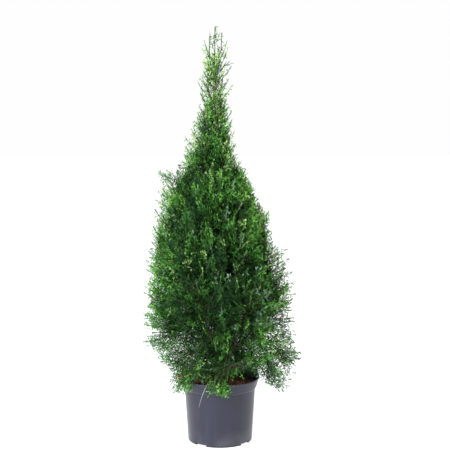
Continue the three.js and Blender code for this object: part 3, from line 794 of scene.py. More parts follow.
@cache
def inner_sprays():
    """Shaded sprays on the boughs and the trunk, inside the crown."""
    room, draw, sprays = Room(dense=True), SeededRandom(SEEDS["inner"]).draw, []

    def grow(root, tangent, share, start, number):
        lean = random_lean(INNER_LEAN, share, draw)
        direction = lean_from(tangent, lean, math.radians(SIDE_TURN * number), INNER_RISE)
        reach = min(room.reach(root, direction, start, MARCH_LIMIT), lerp(INNER_REACH, draw()))
        roll = random_turn(ROLL_SPREAD, draw)
        spray = fit_spray(room, root, direction, reach, roll, TWIG_TEETH, start, FINE_LENGTH, 2)
        if spray:
            sprays.append(spray)

    for mass in plan_masses():
        if mass.bough:
            count = round(np.linalg.norm(mass.bough.end - mass.bough.start) / INNER_EVERY)
            for i in range(count):
                share = lerp(INNER_SPAN, i / count)
                start = lerp(mass.bough_radius, share) + LIMB_MARGIN
                grow(mass.bough.point(share), mass.bough.tangent(share), share, start, i)
    count = round((TRUNK_SPAN[1] - TRUNK_SPAN[0]) / INNER_EVERY)
    for i in range(count):
        root = trunk_at(lerp(TRUNK_SPAN, i / count))
        grow(root, UP, 0.5, trunk_radius_at(root[2]) + LIMB_MARGIN, i)
    return sprays


@cache
def leader_sprays():
    """Short sprays all round the leader, up to its tip."""
    room, draw, sprays = Room(), SeededRandom(SEEDS["leader"]).draw, []
    count = round((LEADER_SPAN[1] - LEADER_SPAN[0]) / LEADER_EVERY)
    for i in range(count):
        share = i / (count - 1)
        root = trunk_at(lerp(LEADER_SPAN, share))
        start = trunk_radius_at(root[2]) + LIMB_MARGIN
        lean = random_lean(LEADER_LEAN, share, draw)
        direction = lean_from(UP, lean, math.radians(SIDE_TURN * i), 0)
        reach = min(room.reach(root, direction, start, MARCH_LIMIT), lerp(LEADER_REACH, share))
        reach *= lerp(REACH_SHARE, draw())
        roll = random_turn(ROLL_SPREAD, draw)
        longer = max(reach, FINE_LEAST)
        spray = fit_spray(room, root, direction, longer, roll, TWIG_TEETH, start, FINE_LENGTH, 2)
        if spray and not left_bare((root + direction * reach)[None])[0]:
            sprays.append(spray._replace(kind="slim" if root[2] > LEADER_SLIM else "full"))
    return sprays


# Meshes

# A limb steeper than this takes its side axes from the x axis
STEEP = 0.9
# Height that a sum of many waves seldom passes, for waves of height 1 in all
WAVE_PEAK = 1.4


class MeshDraft:
    """Vertices in millimetres and triangles, collected for one mesh."""

    def __init__(self):
        self.vertices, self.triangles, self.slots = [], [], []
        self.count = 0

    def add(self, vertices, triangles, slots=0):
        self.vertices.append(np.asarray(vertices, float).reshape(-1, 3))
        self.triangles.append(np.asarray(triangles, int).reshape(-1, 3) + self.count)
        self.slots.append(np.broadcast_to(slots, len(self.triangles[-1])))
        self.count += len(self.vertices[-1])

    def build(self, name, materials, smooth_faces=False):
        vertices = np.concatenate(self.vertices) * MM
        triangles = np.concatenate(self.triangles)
        mesh = bpy.data.meshes.new(name)
        mesh.vertices.add(len(vertices))
        mesh.vertices.foreach_set("co", vertices.astype(np.float32).ravel())
        mesh.loops.add(triangles.size)
        mesh.loops.foreach_set("vertex_index", triangles.astype(np.int32).ravel())
        mesh.polygons.add(len(triangles))
        mesh.polygons.foreach_set("loop_start", np.arange(0, triangles.size, 3, dtype=np.int32))
        for material in materials:
            mesh.materials.append(material)
        mesh.polygons.foreach_set("material_index", np.concatenate(self.slots).astype(np.int32))
        mesh.polygons.foreach_set("use_smooth", np.full(len(triangles), smooth_faces))
        mesh.update(calc_edges=True)
        if mesh.validate():
            raise RuntimeError(f"{name} has faulty faces")
        piece = bpy.data.objects.new(name, mesh)
        bpy.context.scene.collection.objects.link(piece)
        return piece


def turns_of(sides):
    """Angles of the corners of a ring."""
    return np.arange(sides) * 2 * math.pi / sides


def grid_triangles(rows, columns):
    """Two triangles for each cell of a grid whose rows run round."""
    row, column = np.meshgrid(np.arange(rows - 1), np.arange(columns), indexing="ij")
    after = (column + 1) % columns
    a, b = row * columns + column, row * columns + after
    c, d = (row + 1) * columns + after, (row + 1) * columns + column
    return np.stack([np.stack([a, b, c], -1), np.stack([a, c, d], -1)], -2).reshape(-1, 3)


def closed_rings(rings, ends):
    """Vertices and triangles of a row of rings, closed by a point at each end."""
    count, sides = rings.shape[:2]
    around = np.arange(sides)
    after = (around + 1) % sides
    last = (count - 1) * sides
    near_cap = np.stack([np.full(sides, count * sides), after, around], -1)
    far_cap = np.stack([np.full(sides, count * sides + 1), last + around, last + after], -1)
    triangles = np.vstack([grid_triangles(count, sides), near_cap, far_cap])
    return np.vstack([rings.reshape(-1, 3), ends]), triangles


def rings_along(points, radii, sides, level=False):
    """Rings of vertices round a limb, each corner at its own radius."""
    tangents = unit(np.gradient(points, axis=0))
    if level:
        tangents = np.broadcast_to(UP, tangents.shape)
    mean = unit(tangents.mean(axis=0))
    guide = ASIDE if abs(mean[2]) > STEEP else UP
    first = unit(np.cross(guide, tangents))
    second = np.cross(tangents, first)
    turns = turns_of(sides)
    radii = np.broadcast_to(radii, (sides, len(points))).T[..., None]
    spread = first[:, None] * np.cos(turns)[:, None] + second[:, None] * np.sin(turns)[:, None]
    return points[:, None] + radii * spread


def add_limb(draft, points, radii, sides, slot=0, level=False):
    """A limb with a flat cut at each end."""
    draft.add(*closed_rings(rings_along(points, radii, sides, level), points[[0, -1]]), slot)


def waves(places, random, count, shortest, longest):
    """Smooth random heights, mostly from -1 to 1, at rows of coordinates."""
    size = places.shape[-1]
    heights = np.zeros(places.shape[:-1])
    for _ in range(count):
        heading = unit(random.normal(size=size))
        length = shortest * (longest / shortest) ** random.random()
        heights += np.sin(places @ heading * 2 * math.pi / length + random.random() * 2 * math.pi)
    return heights / math.sqrt(count) / WAVE_PEAK


# Shader writing

def feed(tree, socket, value):
    """Links a wire to a socket, or sets the socket to a plain value."""
    if isinstance(value, Wire):
        tree.links.new(value.socket, socket)
    else:
        socket.default_value = value


class Wire:
    """A number or a colour from a socket. Arithmetic on numbers adds Math nodes."""

    def __init__(self, tree, socket):
        self.tree, self.socket = tree, socket

    def math(self, operation, first, second):
        node = self.tree.nodes.new("ShaderNodeMath")
        node.operation = operation
        feed(self.tree, node.inputs[0], first)
        feed(self.tree, node.inputs[1], second)
        return Wire(self.tree, node.outputs[0])

    def __add__(self, other):
        return self.math("ADD", self, other)

    def __radd__(self, other):
        return self.math("ADD", other, self)

    def __sub__(self, other):
        return self.math("SUBTRACT", self, other)

    def __rsub__(self, other):
        return self.math("SUBTRACT", other, self)

    def __mul__(self, other):
        return self.math("MULTIPLY", self, other)

    def __rmul__(self, other):
        return self.math("MULTIPLY", other, self)


# Soft edge of a band of height, in metres
BAND_EDGE = 0.0006


class Finish:
    """A material whose shader is written with nodes."""

    def __init__(self, name, colour=None, **plain):
        self.material = bpy.data.materials.new(name)
        self.material.use_nodes = True
        self.tree = self.material.node_tree
        self.shader = self.tree.nodes["Principled BSDF"]
        if colour is not None:
            self.shader.inputs["Base Color"].default_value = (*colour, 1)
            self.material.diffuse_color = (*colour, 1)
        for socket, value in plain.items():
            self.shader.inputs[socket.replace("_", " ")].default_value = value

    def node(self, kind, settings=None, **sockets):
        """A node with its settings, then its sockets' values or links. Socket names use _ for a space."""
        node = self.tree.nodes.new(kind)
        for setting, value in (settings or {}).items():
            setattr(node, setting, value)
        for name, value in sockets.items():
            feed(self.tree, node.inputs[name.replace("_", " ")], value)
        return node

    def wire(self, node, output=0):
        return Wire(self.tree, node.outputs[output])

    def place(self, squeeze=(1, 1, 1)):
        """Object coordinates, multiplied along each axis."""
        coordinates = self.node("ShaderNodeTexCoord")
        scaled = self.node("ShaderNodeVectorMath", {"operation": "MULTIPLY"})
        feed(self.tree, scaled.inputs[0], self.wire(coordinates, "Object"))
        feed(self.tree, scaled.inputs[1], squeeze)
        return self.wire(scaled)

    def height(self):
        """Height above the ground, in metres."""
        coordinates = self.node("ShaderNodeTexCoord")
        split = self.node("ShaderNodeSeparateXYZ", Vector=self.wire(coordinates, "Object"))
        return self.wire(split, "Z")

    def noise(self, scale, detail=3, squeeze=(1, 1, 1)):
        place = self.place(squeeze)
        return self.wire(self.node("ShaderNodeTexNoise", Vector=place, Scale=scale, Detail=detail))

    def ramp(self, share, low, high):
        """A number stretched so that low goes to 0 and high to 1."""
        node = self.node("ShaderNodeMapRange", {"clamp": True}, Value=share, From_Min=low, From_Max=high)
        return self.wire(node)

    def band(self, value, low, high):
        """1 between low and high, with soft edges."""
        rise = self.ramp(value, low - BAND_EDGE, low + BAND_EDGE)
        return rise * self.ramp(value, high + BAND_EDGE, high - BAND_EDGE)

    def mix(self, share, first, second):
        """A colour between two, each a colour or a wire."""
        node = self.node("ShaderNodeMix", {"data_type": "RGBA"}, Factor=share)
        for socket, value in zip(node.inputs[6:8], (first, second)):
            feed(self.tree, socket, value if isinstance(value, Wire) else (*value, 1))
        return self.wire(node, 2)

    def drive(self, socket, wire):
        feed(self.tree, self.shader.inputs[socket], wire)

    def bump(self, heights, strength, distance):
        node = self.node("ShaderNodeBump", Height=heights, Strength=strength, Distance=distance)
        self.drive("Normal", self.wire(node))


# Sizes and colours that a user would change

def colour_property(name, description, default):
    return FloatVectorProperty(name=name, description=description, default=default, subtype="COLOR",
                               min=0, max=1)


def length_property(name, description, default):
    return FloatProperty(name=name, description=description, default=default, unit="LENGTH", precision=5)


class PotSettings(bpy.types.PropertyGroup):
    facets: IntProperty(name="Facets", description="Steps round the pot", default=160, min=24, max=400)
    ripple: length_property("Ripple", "Height of the rings near the foot", 0.25 * MM)
    colour: colour_property("Plastic", "Colour of the pot", (0.017, 0.016, 0.024))
    dust: colour_property("Dust", "Colour of the dust on the pot", (0.16, 0.15, 0.15))
    roughness: FloatProperty(name="Roughness", description="Roughness of the plastic", default=0.25,
                             subtype="FACTOR")


class SoilSettings(bpy.types.PropertyGroup):
    lumps: length_property("Lumps", "Height of the soil's lumps", 2.2 * MM)
    crumbs: IntProperty(name="Crumbs", description="Loose crumbs and bark chips on the soil", default=900,
                        min=0)
    dark: colour_property("Moist soil", "Colour of the soil", (0.115, 0.054, 0.038))
    light: colour_property("Fibres", "Colour of the soil's fibres", (0.400, 0.190, 0.122))


class BarkSettings(bpy.types.PropertyGroup):
    relief: FloatProperty(name="Relief", description="Depth of the bark's strips, as a share of the radius",
                          default=0.09, subtype="FACTOR")
    dark: colour_property("Furrows", "Colour in the bark's furrows", (0.050, 0.026, 0.016))
    light: colour_property("Strips", "Colour of the bark's strips", (0.20, 0.105, 0.062))
    twig: colour_property("Twigs", "Colour of the young twigs", (0.075, 0.115, 0.035))
    dead: colour_property("Dead twig", "Colour of the dead twig on the rim", (0.17, 0.19, 0.16))


class LeafSettings(bpy.types.PropertyGroup):
    width: length_property("Branchlet width", "Width of a branchlet of scale leaves", 2.35 * MM)
    # The dark and deep greens are painted shade on the sprays, and the bright green is painted light
    dark: colour_property("Dark green", "Sprays deep inside the crown", (0.008, 0.034, 0.006))
    deep: colour_property("Deep green", "Shaded sprays", (0.022, 0.085, 0.012))
    mid: colour_property("Mid green", "Most sprays", (0.042, 0.155, 0.019))
    bright: colour_property("Bright green", "Sprays in full light", (0.080, 0.235, 0.030))
    yellow: colour_property("Yellow green", "Fresh growth", (0.180, 0.310, 0.080))
    blue: colour_property("Grey green", "Low sprays at the rim", (0.085, 0.160, 0.076))
    brown: colour_property("Dry brown", "Dry sprays low down", (0.13, 0.085, 0.040))


class StageSettings(bpy.types.PropertyGroup):
    distance: length_property("Camera distance", "Camera in front of the pot", 4.0)
    height: length_property("Camera height", "Camera above the floor", 1.249)
    aside: length_property("Camera aside", "Camera to the right of the pot", 0.0147)
    pitch: FloatProperty(name="Camera pitch", description="Camera's tilt down", default=math.radians(8.75),
                         unit="ROTATION")
    lens: FloatProperty(name="Lens", description="Focal length in millimetres on a 36 mm sensor",
                        default=113.1)
    key: FloatProperty(name="Key light", description="Power of the soft light at front left, in watts",
                       default=290)
    fill: FloatProperty(name="Fill light", description="Power of the soft light at front right, in watts",
                        default=55)
    strip: FloatProperty(name="Strip light", default=52,
                         description="Power of the narrow light that the pot mirrors, in watts")
    sky: FloatProperty(name="Sky", description="Strength of the white surroundings as light", default=0.36)
    wall: FloatProperty(name="Wall", description="Brightness of the white wall behind", default=0.99)
    glow: FloatProperty(name="Floor glow", description="Light of its own from the white floor", default=0.85)


# Pot

RIPPLE_STEP = 5.0
RIPPLE_FADE = 14.0
LIP_RADIUS = 1.4
DRAIN_SLACK = 0.1
SHARP_ANGLE = 32
# Steps of the section round the foot's corner, up the body and round the lip
CORNER_STEPS = 7
BODY_STEPS = 64
LIP_STEPS = 9
# Heights in metres: dust low down and at the rim, the painted shade under the collar's step, the painted
# highlight on the edge over it, the painted shade under the rim's step, and the painted shade at the foot
LOW_DUST = (0.05, 0.0)
RIM_DUST = (0.176, 0.19)
COLLAR_SHADE = (0.1515, 0.1565)
COLLAR_LIGHT = (0.1575, 0.1605)
RIM_SHADE = (0.1800, 0.1838)
FOOT_SHADE = (0.010, 0.001)
# Colour of the painted shade under the collar's and rim's steps
STEP_SHADE_COLOUR = (0.008, 0.008, 0.011)
# Colour of the painted highlight along the collar's edge
EDGE_HIGHLIGHT_COLOUR = (0.15, 0.15, 0.17)
# Black of the painted shadow at the pot's foot and on the walls of the drain notches
PAINTED_SHADOW_COLOUR = (0.002, 0.002, 0.003)


def pot_profile(settings):
    """Radius and height of the pot's section, from the underside round the rim to the inner floor."""
    corner = [(FOOT_RADIUS - FOOT_CORNER * (1 - math.sin(turn)), FOOT_CORNER * (1 - math.cos(turn)))
              for turn in np.linspace(0, math.pi / 2, CORNER_STEPS)]

    def body_radius(height):
        share = (height - FOOT_CORNER) / (COLLAR_FOOT - COLLAR_STEP - FOOT_CORNER)
        swing = math.sin(height * 2 * math.pi / RIPPLE_STEP)
        ripple = settings.ripple / MM * swing * math.exp(-height / RIPPLE_FADE)
        return lerp((FOOT_RADIUS, BODY_TOP_RADIUS), share) + max(ripple, 0)

    heights = np.linspace(FOOT_CORNER, COLLAR_FOOT - COLLAR_STEP, BODY_STEPS)
    body = [(body_radius(height), height) for height in heights]
    # Small rounded steps under the collar and under the rim's band
    collar = [
        (COLLAR_FOOT_RADIUS - 0.6, COLLAR_FOOT - 0.4),
        (COLLAR_FOOT_RADIUS, COLLAR_FOOT + COLLAR_STEP),
        (COLLAR_FOOT_RADIUS + 1.0, COLLAR_FOOT + 3.2),
        (COLLAR_FOOT_RADIUS + 1.9, COLLAR_FOOT + 3.6),
        (RIM_RADIUS - 1.8, POT_HEIGHT - RIM_BAND - 1.2),
        (RIM_RADIUS - 0.6, POT_HEIGHT - RIM_BAND - 0.4),
        (RIM_RADIUS, POT_HEIGHT - RIM_BAND + RIM_EDGE),
        (RIM_RADIUS, POT_HEIGHT - 2 * RIM_EDGE),
    ]
    lip = [(RIM_RADIUS - LIP_RADIUS * (1 - math.cos(turn)), POT_HEIGHT - LIP_RADIUS * (1 - math.sin(turn)))
           for turn in np.linspace(0, math.pi, LIP_STEPS)]
    inner = [
        (RIM_RADIUS - RIM_EDGE - POT_WALL, POT_HEIGHT - RIM_BAND),
        (COLLAR_FOOT_RADIUS - POT_WALL, COLLAR_FOOT + POT_WALL + COLLAR_STEP),
        (BODY_TOP_RADIUS - POT_WALL, COLLAR_FOOT + POT_WALL - COLLAR_STEP),
        (FOOT_RADIUS - POT_WALL, INNER_FLOOR),
    ]
    return np.array(corner + body + collar + lip + inner)


def cut_drains(pot):
    """Cuts the notches under the foot that let water out, and gives their walls the second material, a dull
    black painted shadow.
    """
    cutters = []
    for i in range(DRAIN_COUNT):
        turn = math.radians(DRAIN_TURN + 360 * i / DRAIN_COUNT)
        bpy.ops.mesh.primitive_cube_add(size=1, rotation=(0, 0, turn))
        cutter = bpy.context.object
        cutter.scale = (2 * DRAIN_REACH * MM, DRAIN_WIDTH * MM, 2 * DRAIN_HEIGHT * MM)
        cutter.location = (FOOT_RADIUS * MM * math.cos(turn), FOOT_RADIUS * MM * math.sin(turn), 0)
        cutters.append(cutter)
        cut = pot.modifiers.new("drain", "BOOLEAN")
        cut.operation, cut.solver, cut.object = "DIFFERENCE", "EXACT", cutter
    bpy.context.view_layer.update()
    evaluated = pot.evaluated_get(bpy.context.evaluated_depsgraph_get())
    cut_mesh = bpy.data.meshes.new_from_object(evaluated)
    pot.modifiers.clear()
    pot.data = cut_mesh
    innermost = FOOT_RADIUS - FOOT_CORNER - 2 * DRAIN_SLACK
    for face in cut_mesh.polygons:
        x, y, z = face.center / MM
        if DRAIN_SLACK < z < DRAIN_HEIGHT + DRAIN_SLACK and math.hypot(x, y) < innermost:
            face.material_index = 1
    for cutter in cutters:
        bpy.data.objects.remove(cutter)


def plastic_finish(settings):
    """Dark satin plastic with dust low down and under the rim, painted shade under its collar's and rim's
    steps and at its foot, and a painted highlight along the collar's edge.
    """
    finish = Finish("pot_plastic", Specular_IOR_Level=0.45, Specular_Tint=(0.8, 0.84, 1, 1))
    cloud = finish.noise(9, 4)
    grain = finish.noise(900, 2)
    streak = finish.noise(30, 3, (3, 3, 0.25))
    height = finish.height()
    low_dust = finish.ramp(height, *LOW_DUST) * finish.ramp(cloud, 0.42, 0.66)
    rim_dust = finish.ramp(height, *RIM_DUST) * finish.ramp(streak, 0.45, 0.7)
    dust = low_dust * 0.35 + rim_dust * 0.3 + finish.ramp(streak, 0.5, 0.8) * 0.05
    dusty = finish.mix(dust, tuple(settings.colour), tuple(settings.dust))
    # Painted shade under the collar's step and under the rim's step
    shade = finish.band(height, *COLLAR_SHADE) * 0.6 + finish.band(height, *RIM_SHADE) * 0.35
    shaded = finish.mix(shade, dusty, STEP_SHADE_COLOUR)
    # A painted highlight along the collar's edge, broken up by the streaks
    edge = finish.band(height, *COLLAR_LIGHT) * finish.ramp(streak, 0.3, 0.7) * 0.07
    collared = finish.mix(edge, shaded, EDGE_HIGHLIGHT_COLOUR)
    # Painted shade darkening the foot towards the floor
    foot = finish.ramp(height, *FOOT_SHADE) * 0.6
    finish.drive("Base Color", finish.mix(foot, collared, PAINTED_SHADOW_COLOUR))
    finish.drive("Roughness", settings.roughness + cloud * 0.08 + dust * 0.3)
    finish.bump(grain + cloud * 0.3, 0.08, 0.0003)
    return finish.material


class ARBORVITAE_OT_pot(bpy.types.Operator):
    """Builds the round nursery pot"""
    bl_idname = "arborvitae.pot"
    bl_label = "Pot"

    def execute(self, context):
        settings = context.scene.arborvitae_pot
        radius, height = pot_profile(settings).T[..., None]
        turns = turns_of(settings.facets)
        rings = np.stack(np.broadcast_arrays(radius * np.cos(turns), radius * np.sin(turns), height), -1)
        draft = MeshDraft()
        draft.add(*closed_rings(rings, [[0, 0, 0], [0, 0, INNER_FLOOR]]))
        # The notches' walls are a dull black painted shadow
        inside = Finish("drain_inside", PAINTED_SHADOW_COLOUR, Roughness=1, Specular_IOR_Level=0)
        pot = draft.build("pot_shell", [plastic_finish(settings), inside.material], smooth_faces=True)
        cut_drains(pot)
        pot.data.set_sharp_from_angle(angle=math.radians(SHARP_ANGLE))
        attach(pot, "root")
        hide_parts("pot")
        return {"FINISHED"}


# Soil

SOIL_RADIUS = 106.6
SOIL_SIDES = 140
SOIL_RINGS = 46
# Radii of the soil's two innermost rings
SOIL_MIDDLE = (0.5, 3)
# Radius and height of the soil's hidden underside and side
SOIL_SIDE = ((0.5, INNER_FLOOR + CLEAR), (FOOT_RADIUS - POT_WALL - CLEAR, INNER_FLOOR + CLEAR),
             (BODY_TOP_RADIUS - POT_WALL - CLEAR, COLLAR_FOOT + POT_WALL - COLLAR_STEP))
LUMP_WAVES = 40
LUMP_LENGTHS = (5, 38)
LUMP_FADE = 6
LUMP_LEAST = 0.25
# Heights in metres between which the soil in the pot darkens to black, as painted shadow
SOIL_SHADOW_HEIGHTS = (0.1, 0.02)
SOIL_SHADOW_COLOUR = (0.001, 0.001, 0.001)
# Crumbs: how near the trunk's axis and the pot's wall they lie, what a third of them are larger by, and the
# ends of their random sizes, widths along three axes, corners and heights over the soil
CRUMBS_FROM = 14
CRUMBS_OFF_WALL = 3
CRUMB_FACTORS = (1, 1, 1.6)
CRUMB_SIZE = (0.8, 2.2)
CRUMB_WIDTHS = ((0.8, 0.5, 0.3), (1.8, 1.1, 0.8))
CRUMB_CORNERS = (0.7, 1.2)
CRUMB_LIFT = (0, 2.2)
OCTAHEDRON_CORNERS = np.array([[1, 0, 0], [0, 1, 0], [-1, 0, 0], [0, -1, 0], [0, 0, 1], [0, 0, -1]], float)
OCTAHEDRON_FACES = [[0, 1, 4], [1, 2, 4], [2, 3, 4], [3, 0, 4], [1, 0, 5], [2, 1, 5], [3, 2, 5], [0, 3, 5]]


def soil_height(radius):
    """Mean height of the soil at a distance from the middle."""
    share = (radius - SOIL_MOUND_RADIUS) / (SOIL_RADIUS - SOIL_MOUND_RADIUS)
    return GROUND + (SOIL_EDGE_HEIGHT - GROUND) * np.clip(share, 0, 1)


def soil_finish(settings):
    """Moist soil with paler fibres, darkened to black low in the pot as painted shadow."""
    finish = Finish("moist_soil", Roughness=0.95, Specular_IOR_Level=0.1)
    clumps = finish.noise(60, 5)
    fibres = finish.noise(420, 3, (1, 0.35, 1))
    share = finish.ramp(clumps * 0.5 + fibres * 0.5, 0.42, 0.66)
    mottled = finish.mix(share, tuple(settings.dark), tuple(settings.light))
    # Painted shadow: the soil turns black low in the pot
    shadowed = finish.ramp(finish.height(), *SOIL_SHADOW_HEIGHTS)
    finish.drive("Base Color", finish.mix(shadowed, mottled, SOIL_SHADOW_COLOUR))
    finish.bump(clumps + fibres * 0.6, 0.7, 0.002)
    return finish.material


def soil_rings(settings, random):
    """Rings of the soil, from its hidden foot up the pot's wall and over its lumpy top."""
    middle, first = SOIL_MIDDLE
    radii = np.concatenate([[middle], np.linspace(first, SOIL_RADIUS, SOIL_RINGS)])
    turns = turns_of(SOIL_SIDES)
    x, y = radii[:, None] * np.cos(turns), radii[:, None] * np.sin(turns)
    lumps = waves(np.stack([x, y], -1), random, LUMP_WAVES, *LUMP_LENGTHS) * settings.lumps / MM
    edge = smooth((SOIL_RADIUS - radii) / LUMP_FADE)[:, None]
    heights = soil_height(radii)[:, None] + lumps * (LUMP_LEAST + (1 - LUMP_LEAST) * edge)
    top = np.stack([x, y, heights], -1)
    around = np.stack([np.cos(turns), np.sin(turns), np.zeros(SOIL_SIDES)], -1)
    lower = np.array([around * radius + UP * height for radius, height in SOIL_SIDE])
    return np.concatenate([lower, top[::-1]])


def crumb(random):
    """Corners of one crumb or chip, an octahedron out of shape, where it lies on the soil."""
    radius = math.sqrt(random.uniform(CRUMBS_FROM ** 2, (SOIL_RADIUS - CRUMBS_OFF_WALL) ** 2))
    turn = random.uniform(0, 2 * math.pi)
    size = random.uniform(*CRUMB_SIZE) * random.choice(CRUMB_FACTORS)
    shape = size * random.uniform(*CRUMB_WIDTHS)
    spin, _ = np.linalg.qr(random.normal(size=(3, 3)))
    chunk = (OCTAHEDRON_CORNERS * random.uniform(*CRUMB_CORNERS, (6, 1)) * shape) @ spin
    height = soil_height(radius) + random.uniform(*CRUMB_LIFT)
    return chunk + [radius * math.cos(turn), radius * math.sin(turn), height]


class ARBORVITAE_OT_soil(bpy.types.Operator):
    """Fills the pot with lumpy soil and strews crumbs and bark chips on it"""
    bl_idname = "arborvitae.soil"
    bl_label = "Soil"

    def execute(self, context):
        settings = context.scene.arborvitae_soil
        random = np.random.default_rng(SEEDS["soil"])
        finish = soil_finish(settings)
        draft = MeshDraft()
        rings = soil_rings(settings, random)
        draft.add(rings, grid_triangles(len(rings), SOIL_SIDES))
        soil = draft.build("soil_surface", [finish], smooth_faces=True)
        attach(soil, "root")
        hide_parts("soil")

        draft = MeshDraft()
        for _ in range(settings.crumbs):
            draft.add(crumb(random), OCTAHEDRON_FACES)
        crumbs = draft.build("soil_crumbs", [finish])
        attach(crumbs, "root")
        return {"FINISHED"}


# Bark

# Heights in metres between which the leader turns from bark to green, and the twigs, which are blotched
YOUNG_LEADER = (1.06, 1.13)
GREEN_TWIGS = (0.25, 0.75)
TRUNK_SIDES = 30
TRUNK_RINGS = 220
RING_CROWDING = 1.25
BOUGH_SIDES = 14
BOUGH_RINGS = 30
STEM_SIDES = 8
STEM_SKIN_RINGS = 14
STRIP_LENGTH = 42
# Waves of the bark's relief: how many, the shortest and the longest
STRIP_WAVES = (14, 0.5, 1.4)
FINE_WAVES = (10, 0.5, 1.0)
FINE_SQUEEZE = (2.2, 2.2, 1)
STRIP_DEPTH = 0.7
FINE_DEPTH = 0.5
STEM_BARK_LENGTH = 150
TRUNK_SUNK = 4
# Lobes of the root flare: how many, their turn in radians and their share of the height
LOBES = ((3, 0.6, 1), (5, 2, 0.6))
LOBE_HEIGHT = 1.5
LOBE_FADE = 1.4
BOUGH_SWELL = 1.6
SWELL_FADE = 14
# Share of its colour that the bark keeps on the stems inside the crown, as painted shade
STEM_SHADE = 0.5
# The stem over the rim thins out among its sprays
RIM_STEM_SHARE = 0.62
# A twig's radius, its share in the shortest twigs, its growth up to a long one, and the tip's share
TWIG_RADIUS = 1.3
TWIG_LEAST = 0.6
TWIG_GROWTH = 0.4
LONG_TWIG = 120
TWIG_TIP = 0.4
TWIG_SIDES = 3
SIDE_TWIG_SHARE = 0.72
AXIS_SHARE = 0.6
DEAD_TWIG = ((-34, -108, 196), (-54, -128, 160), (-59, -113, 127))
DEAD_TWIG_RADII = (1.7, 0.7)
DEAD_TWIG_RINGS = 9
DEAD_TWIG_SIDES = 5
# Places in the list of finishes of the stems and twigs
STEM_FINISH, TWIG_FINISH, DEAD_FINISH, GREEN_FINISH = range(4)


def node_name(mass, kind):
    """Name of a mass's bough or foliage among the part's nodes."""
    return f"{mass.tier}_{kind}_{mass.number}" if mass.number else f"{mass.tier}_{kind}"


def bark_finish(settings, shade=1.0):
    """Stringy bark, darker by a share as painted shade on the stems inside the crown."""
    dark, light = (tuple(np.array(colour) * shade) for colour in (settings.dark, settings.light))
    finish = Finish("bark", Roughness=0.88)
    strips = finish.noise(260, 4, (1, 1, 0.09))
    patches = finish.noise(34, 3)
    share = finish.ramp(strips * 0.75 + patches * 0.25, 0.38, 0.62)
    bark = finish.mix(share, dark, light)
    young = finish.ramp(finish.height() + patches * 0.1, *YOUNG_LEADER)
    finish.drive("Base Color", finish.mix(young, bark, tuple(settings.twig)))
    finish.bump(strips, 0.6, 0.0008)
    return finish.material


def twig_finish(settings):
    """Young twigs, blotched brown and green, and greener higher up."""
    finish = Finish("young_twig", Roughness=0.7)
    green = finish.ramp(finish.height() + finish.noise(60, 2) * 0.4, *GREEN_TWIGS)
    finish.drive("Base Color", finish.mix(green, tuple(settings.dark), tuple(settings.twig)))
    return finish.material


def barked(radii, length, sides, relief, random):
    """Radii of a limb's corners with long shreds of bark in relief: rows of corners, columns of rings."""
    turns = turns_of(sides)[:, None]
    along = np.linspace(0, length, len(radii)) / STRIP_LENGTH
    places = np.stack(np.broadcast_arrays(np.cos(turns), np.sin(turns), along), -1)
    strips = waves(places, random, *STRIP_WAVES)
    fine = waves(places * FINE_SQUEEZE, random, *FINE_WAVES)
    return radii * (1 + relief * (STRIP_DEPTH * strips + FINE_DEPTH * fine))


class ARBORVITAE_OT_limbs(bpy.types.Operator):
    """Grows the trunk and the boughs, with the relief of their bark"""
    bl_idname = "arborvitae.limbs"
    bl_label = "Trunk and boughs"

    def execute(self, context):
        settings = context.scene.arborvitae_bark
        random = np.random.default_rng(SEEDS["limbs"])
        finish = bark_finish(settings)
        shares = np.linspace(0, 1, TRUNK_RINGS) ** RING_CROWDING
        radii = barked(trunk_radius(shares), TRUNK_LENGTH, TRUNK_SIDES, settings.relief, random)
        turns = turns_of(TRUNK_SIDES)[:, None]
        lobes = sum(share * np.cos(count * turns + turn) for count, turn, share in LOBES)
        radii = radii + LOBE_HEIGHT * lobes * np.exp(-shares * TRUNK_LENGTH / (LOBE_FADE * FLARE_HEIGHT))
        points = trunk_point(shares)
        below = points[:1] - UP * TRUNK_SUNK
        draft = MeshDraft()
        add_limb(draft, np.vstack([below, points]), np.hstack([radii[:, :1], radii]), TRUNK_SIDES, level=True)
        trunk = draft.build("trunk_bark", [finish], smooth_faces=True)
        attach(trunk, "root")
        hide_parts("trunk")

        draft = MeshDraft()
        names = []
        shares = np.linspace(0, 1, BOUGH_RINGS)
        for mass in plan_masses():
            if not mass.bough:
                continue
            radius = lerp(mass.bough_radius, shares) + BOUGH_SWELL * np.exp(-shares * SWELL_FADE)
            length = np.linalg.norm(mass.bough.end - mass.bough.start)
            radii = barked(radius, length, BOUGH_SIDES, settings.relief, random)
            add_limb(draft, mass.bough.point(shares), radii, BOUGH_SIDES)
            names.append(node_name(mass, "bough"))
        boughs = draft.build("bough_bark", [finish], smooth_faces=True)
        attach(boughs, "root")
        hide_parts(*names)
        return {"FINISHED"}


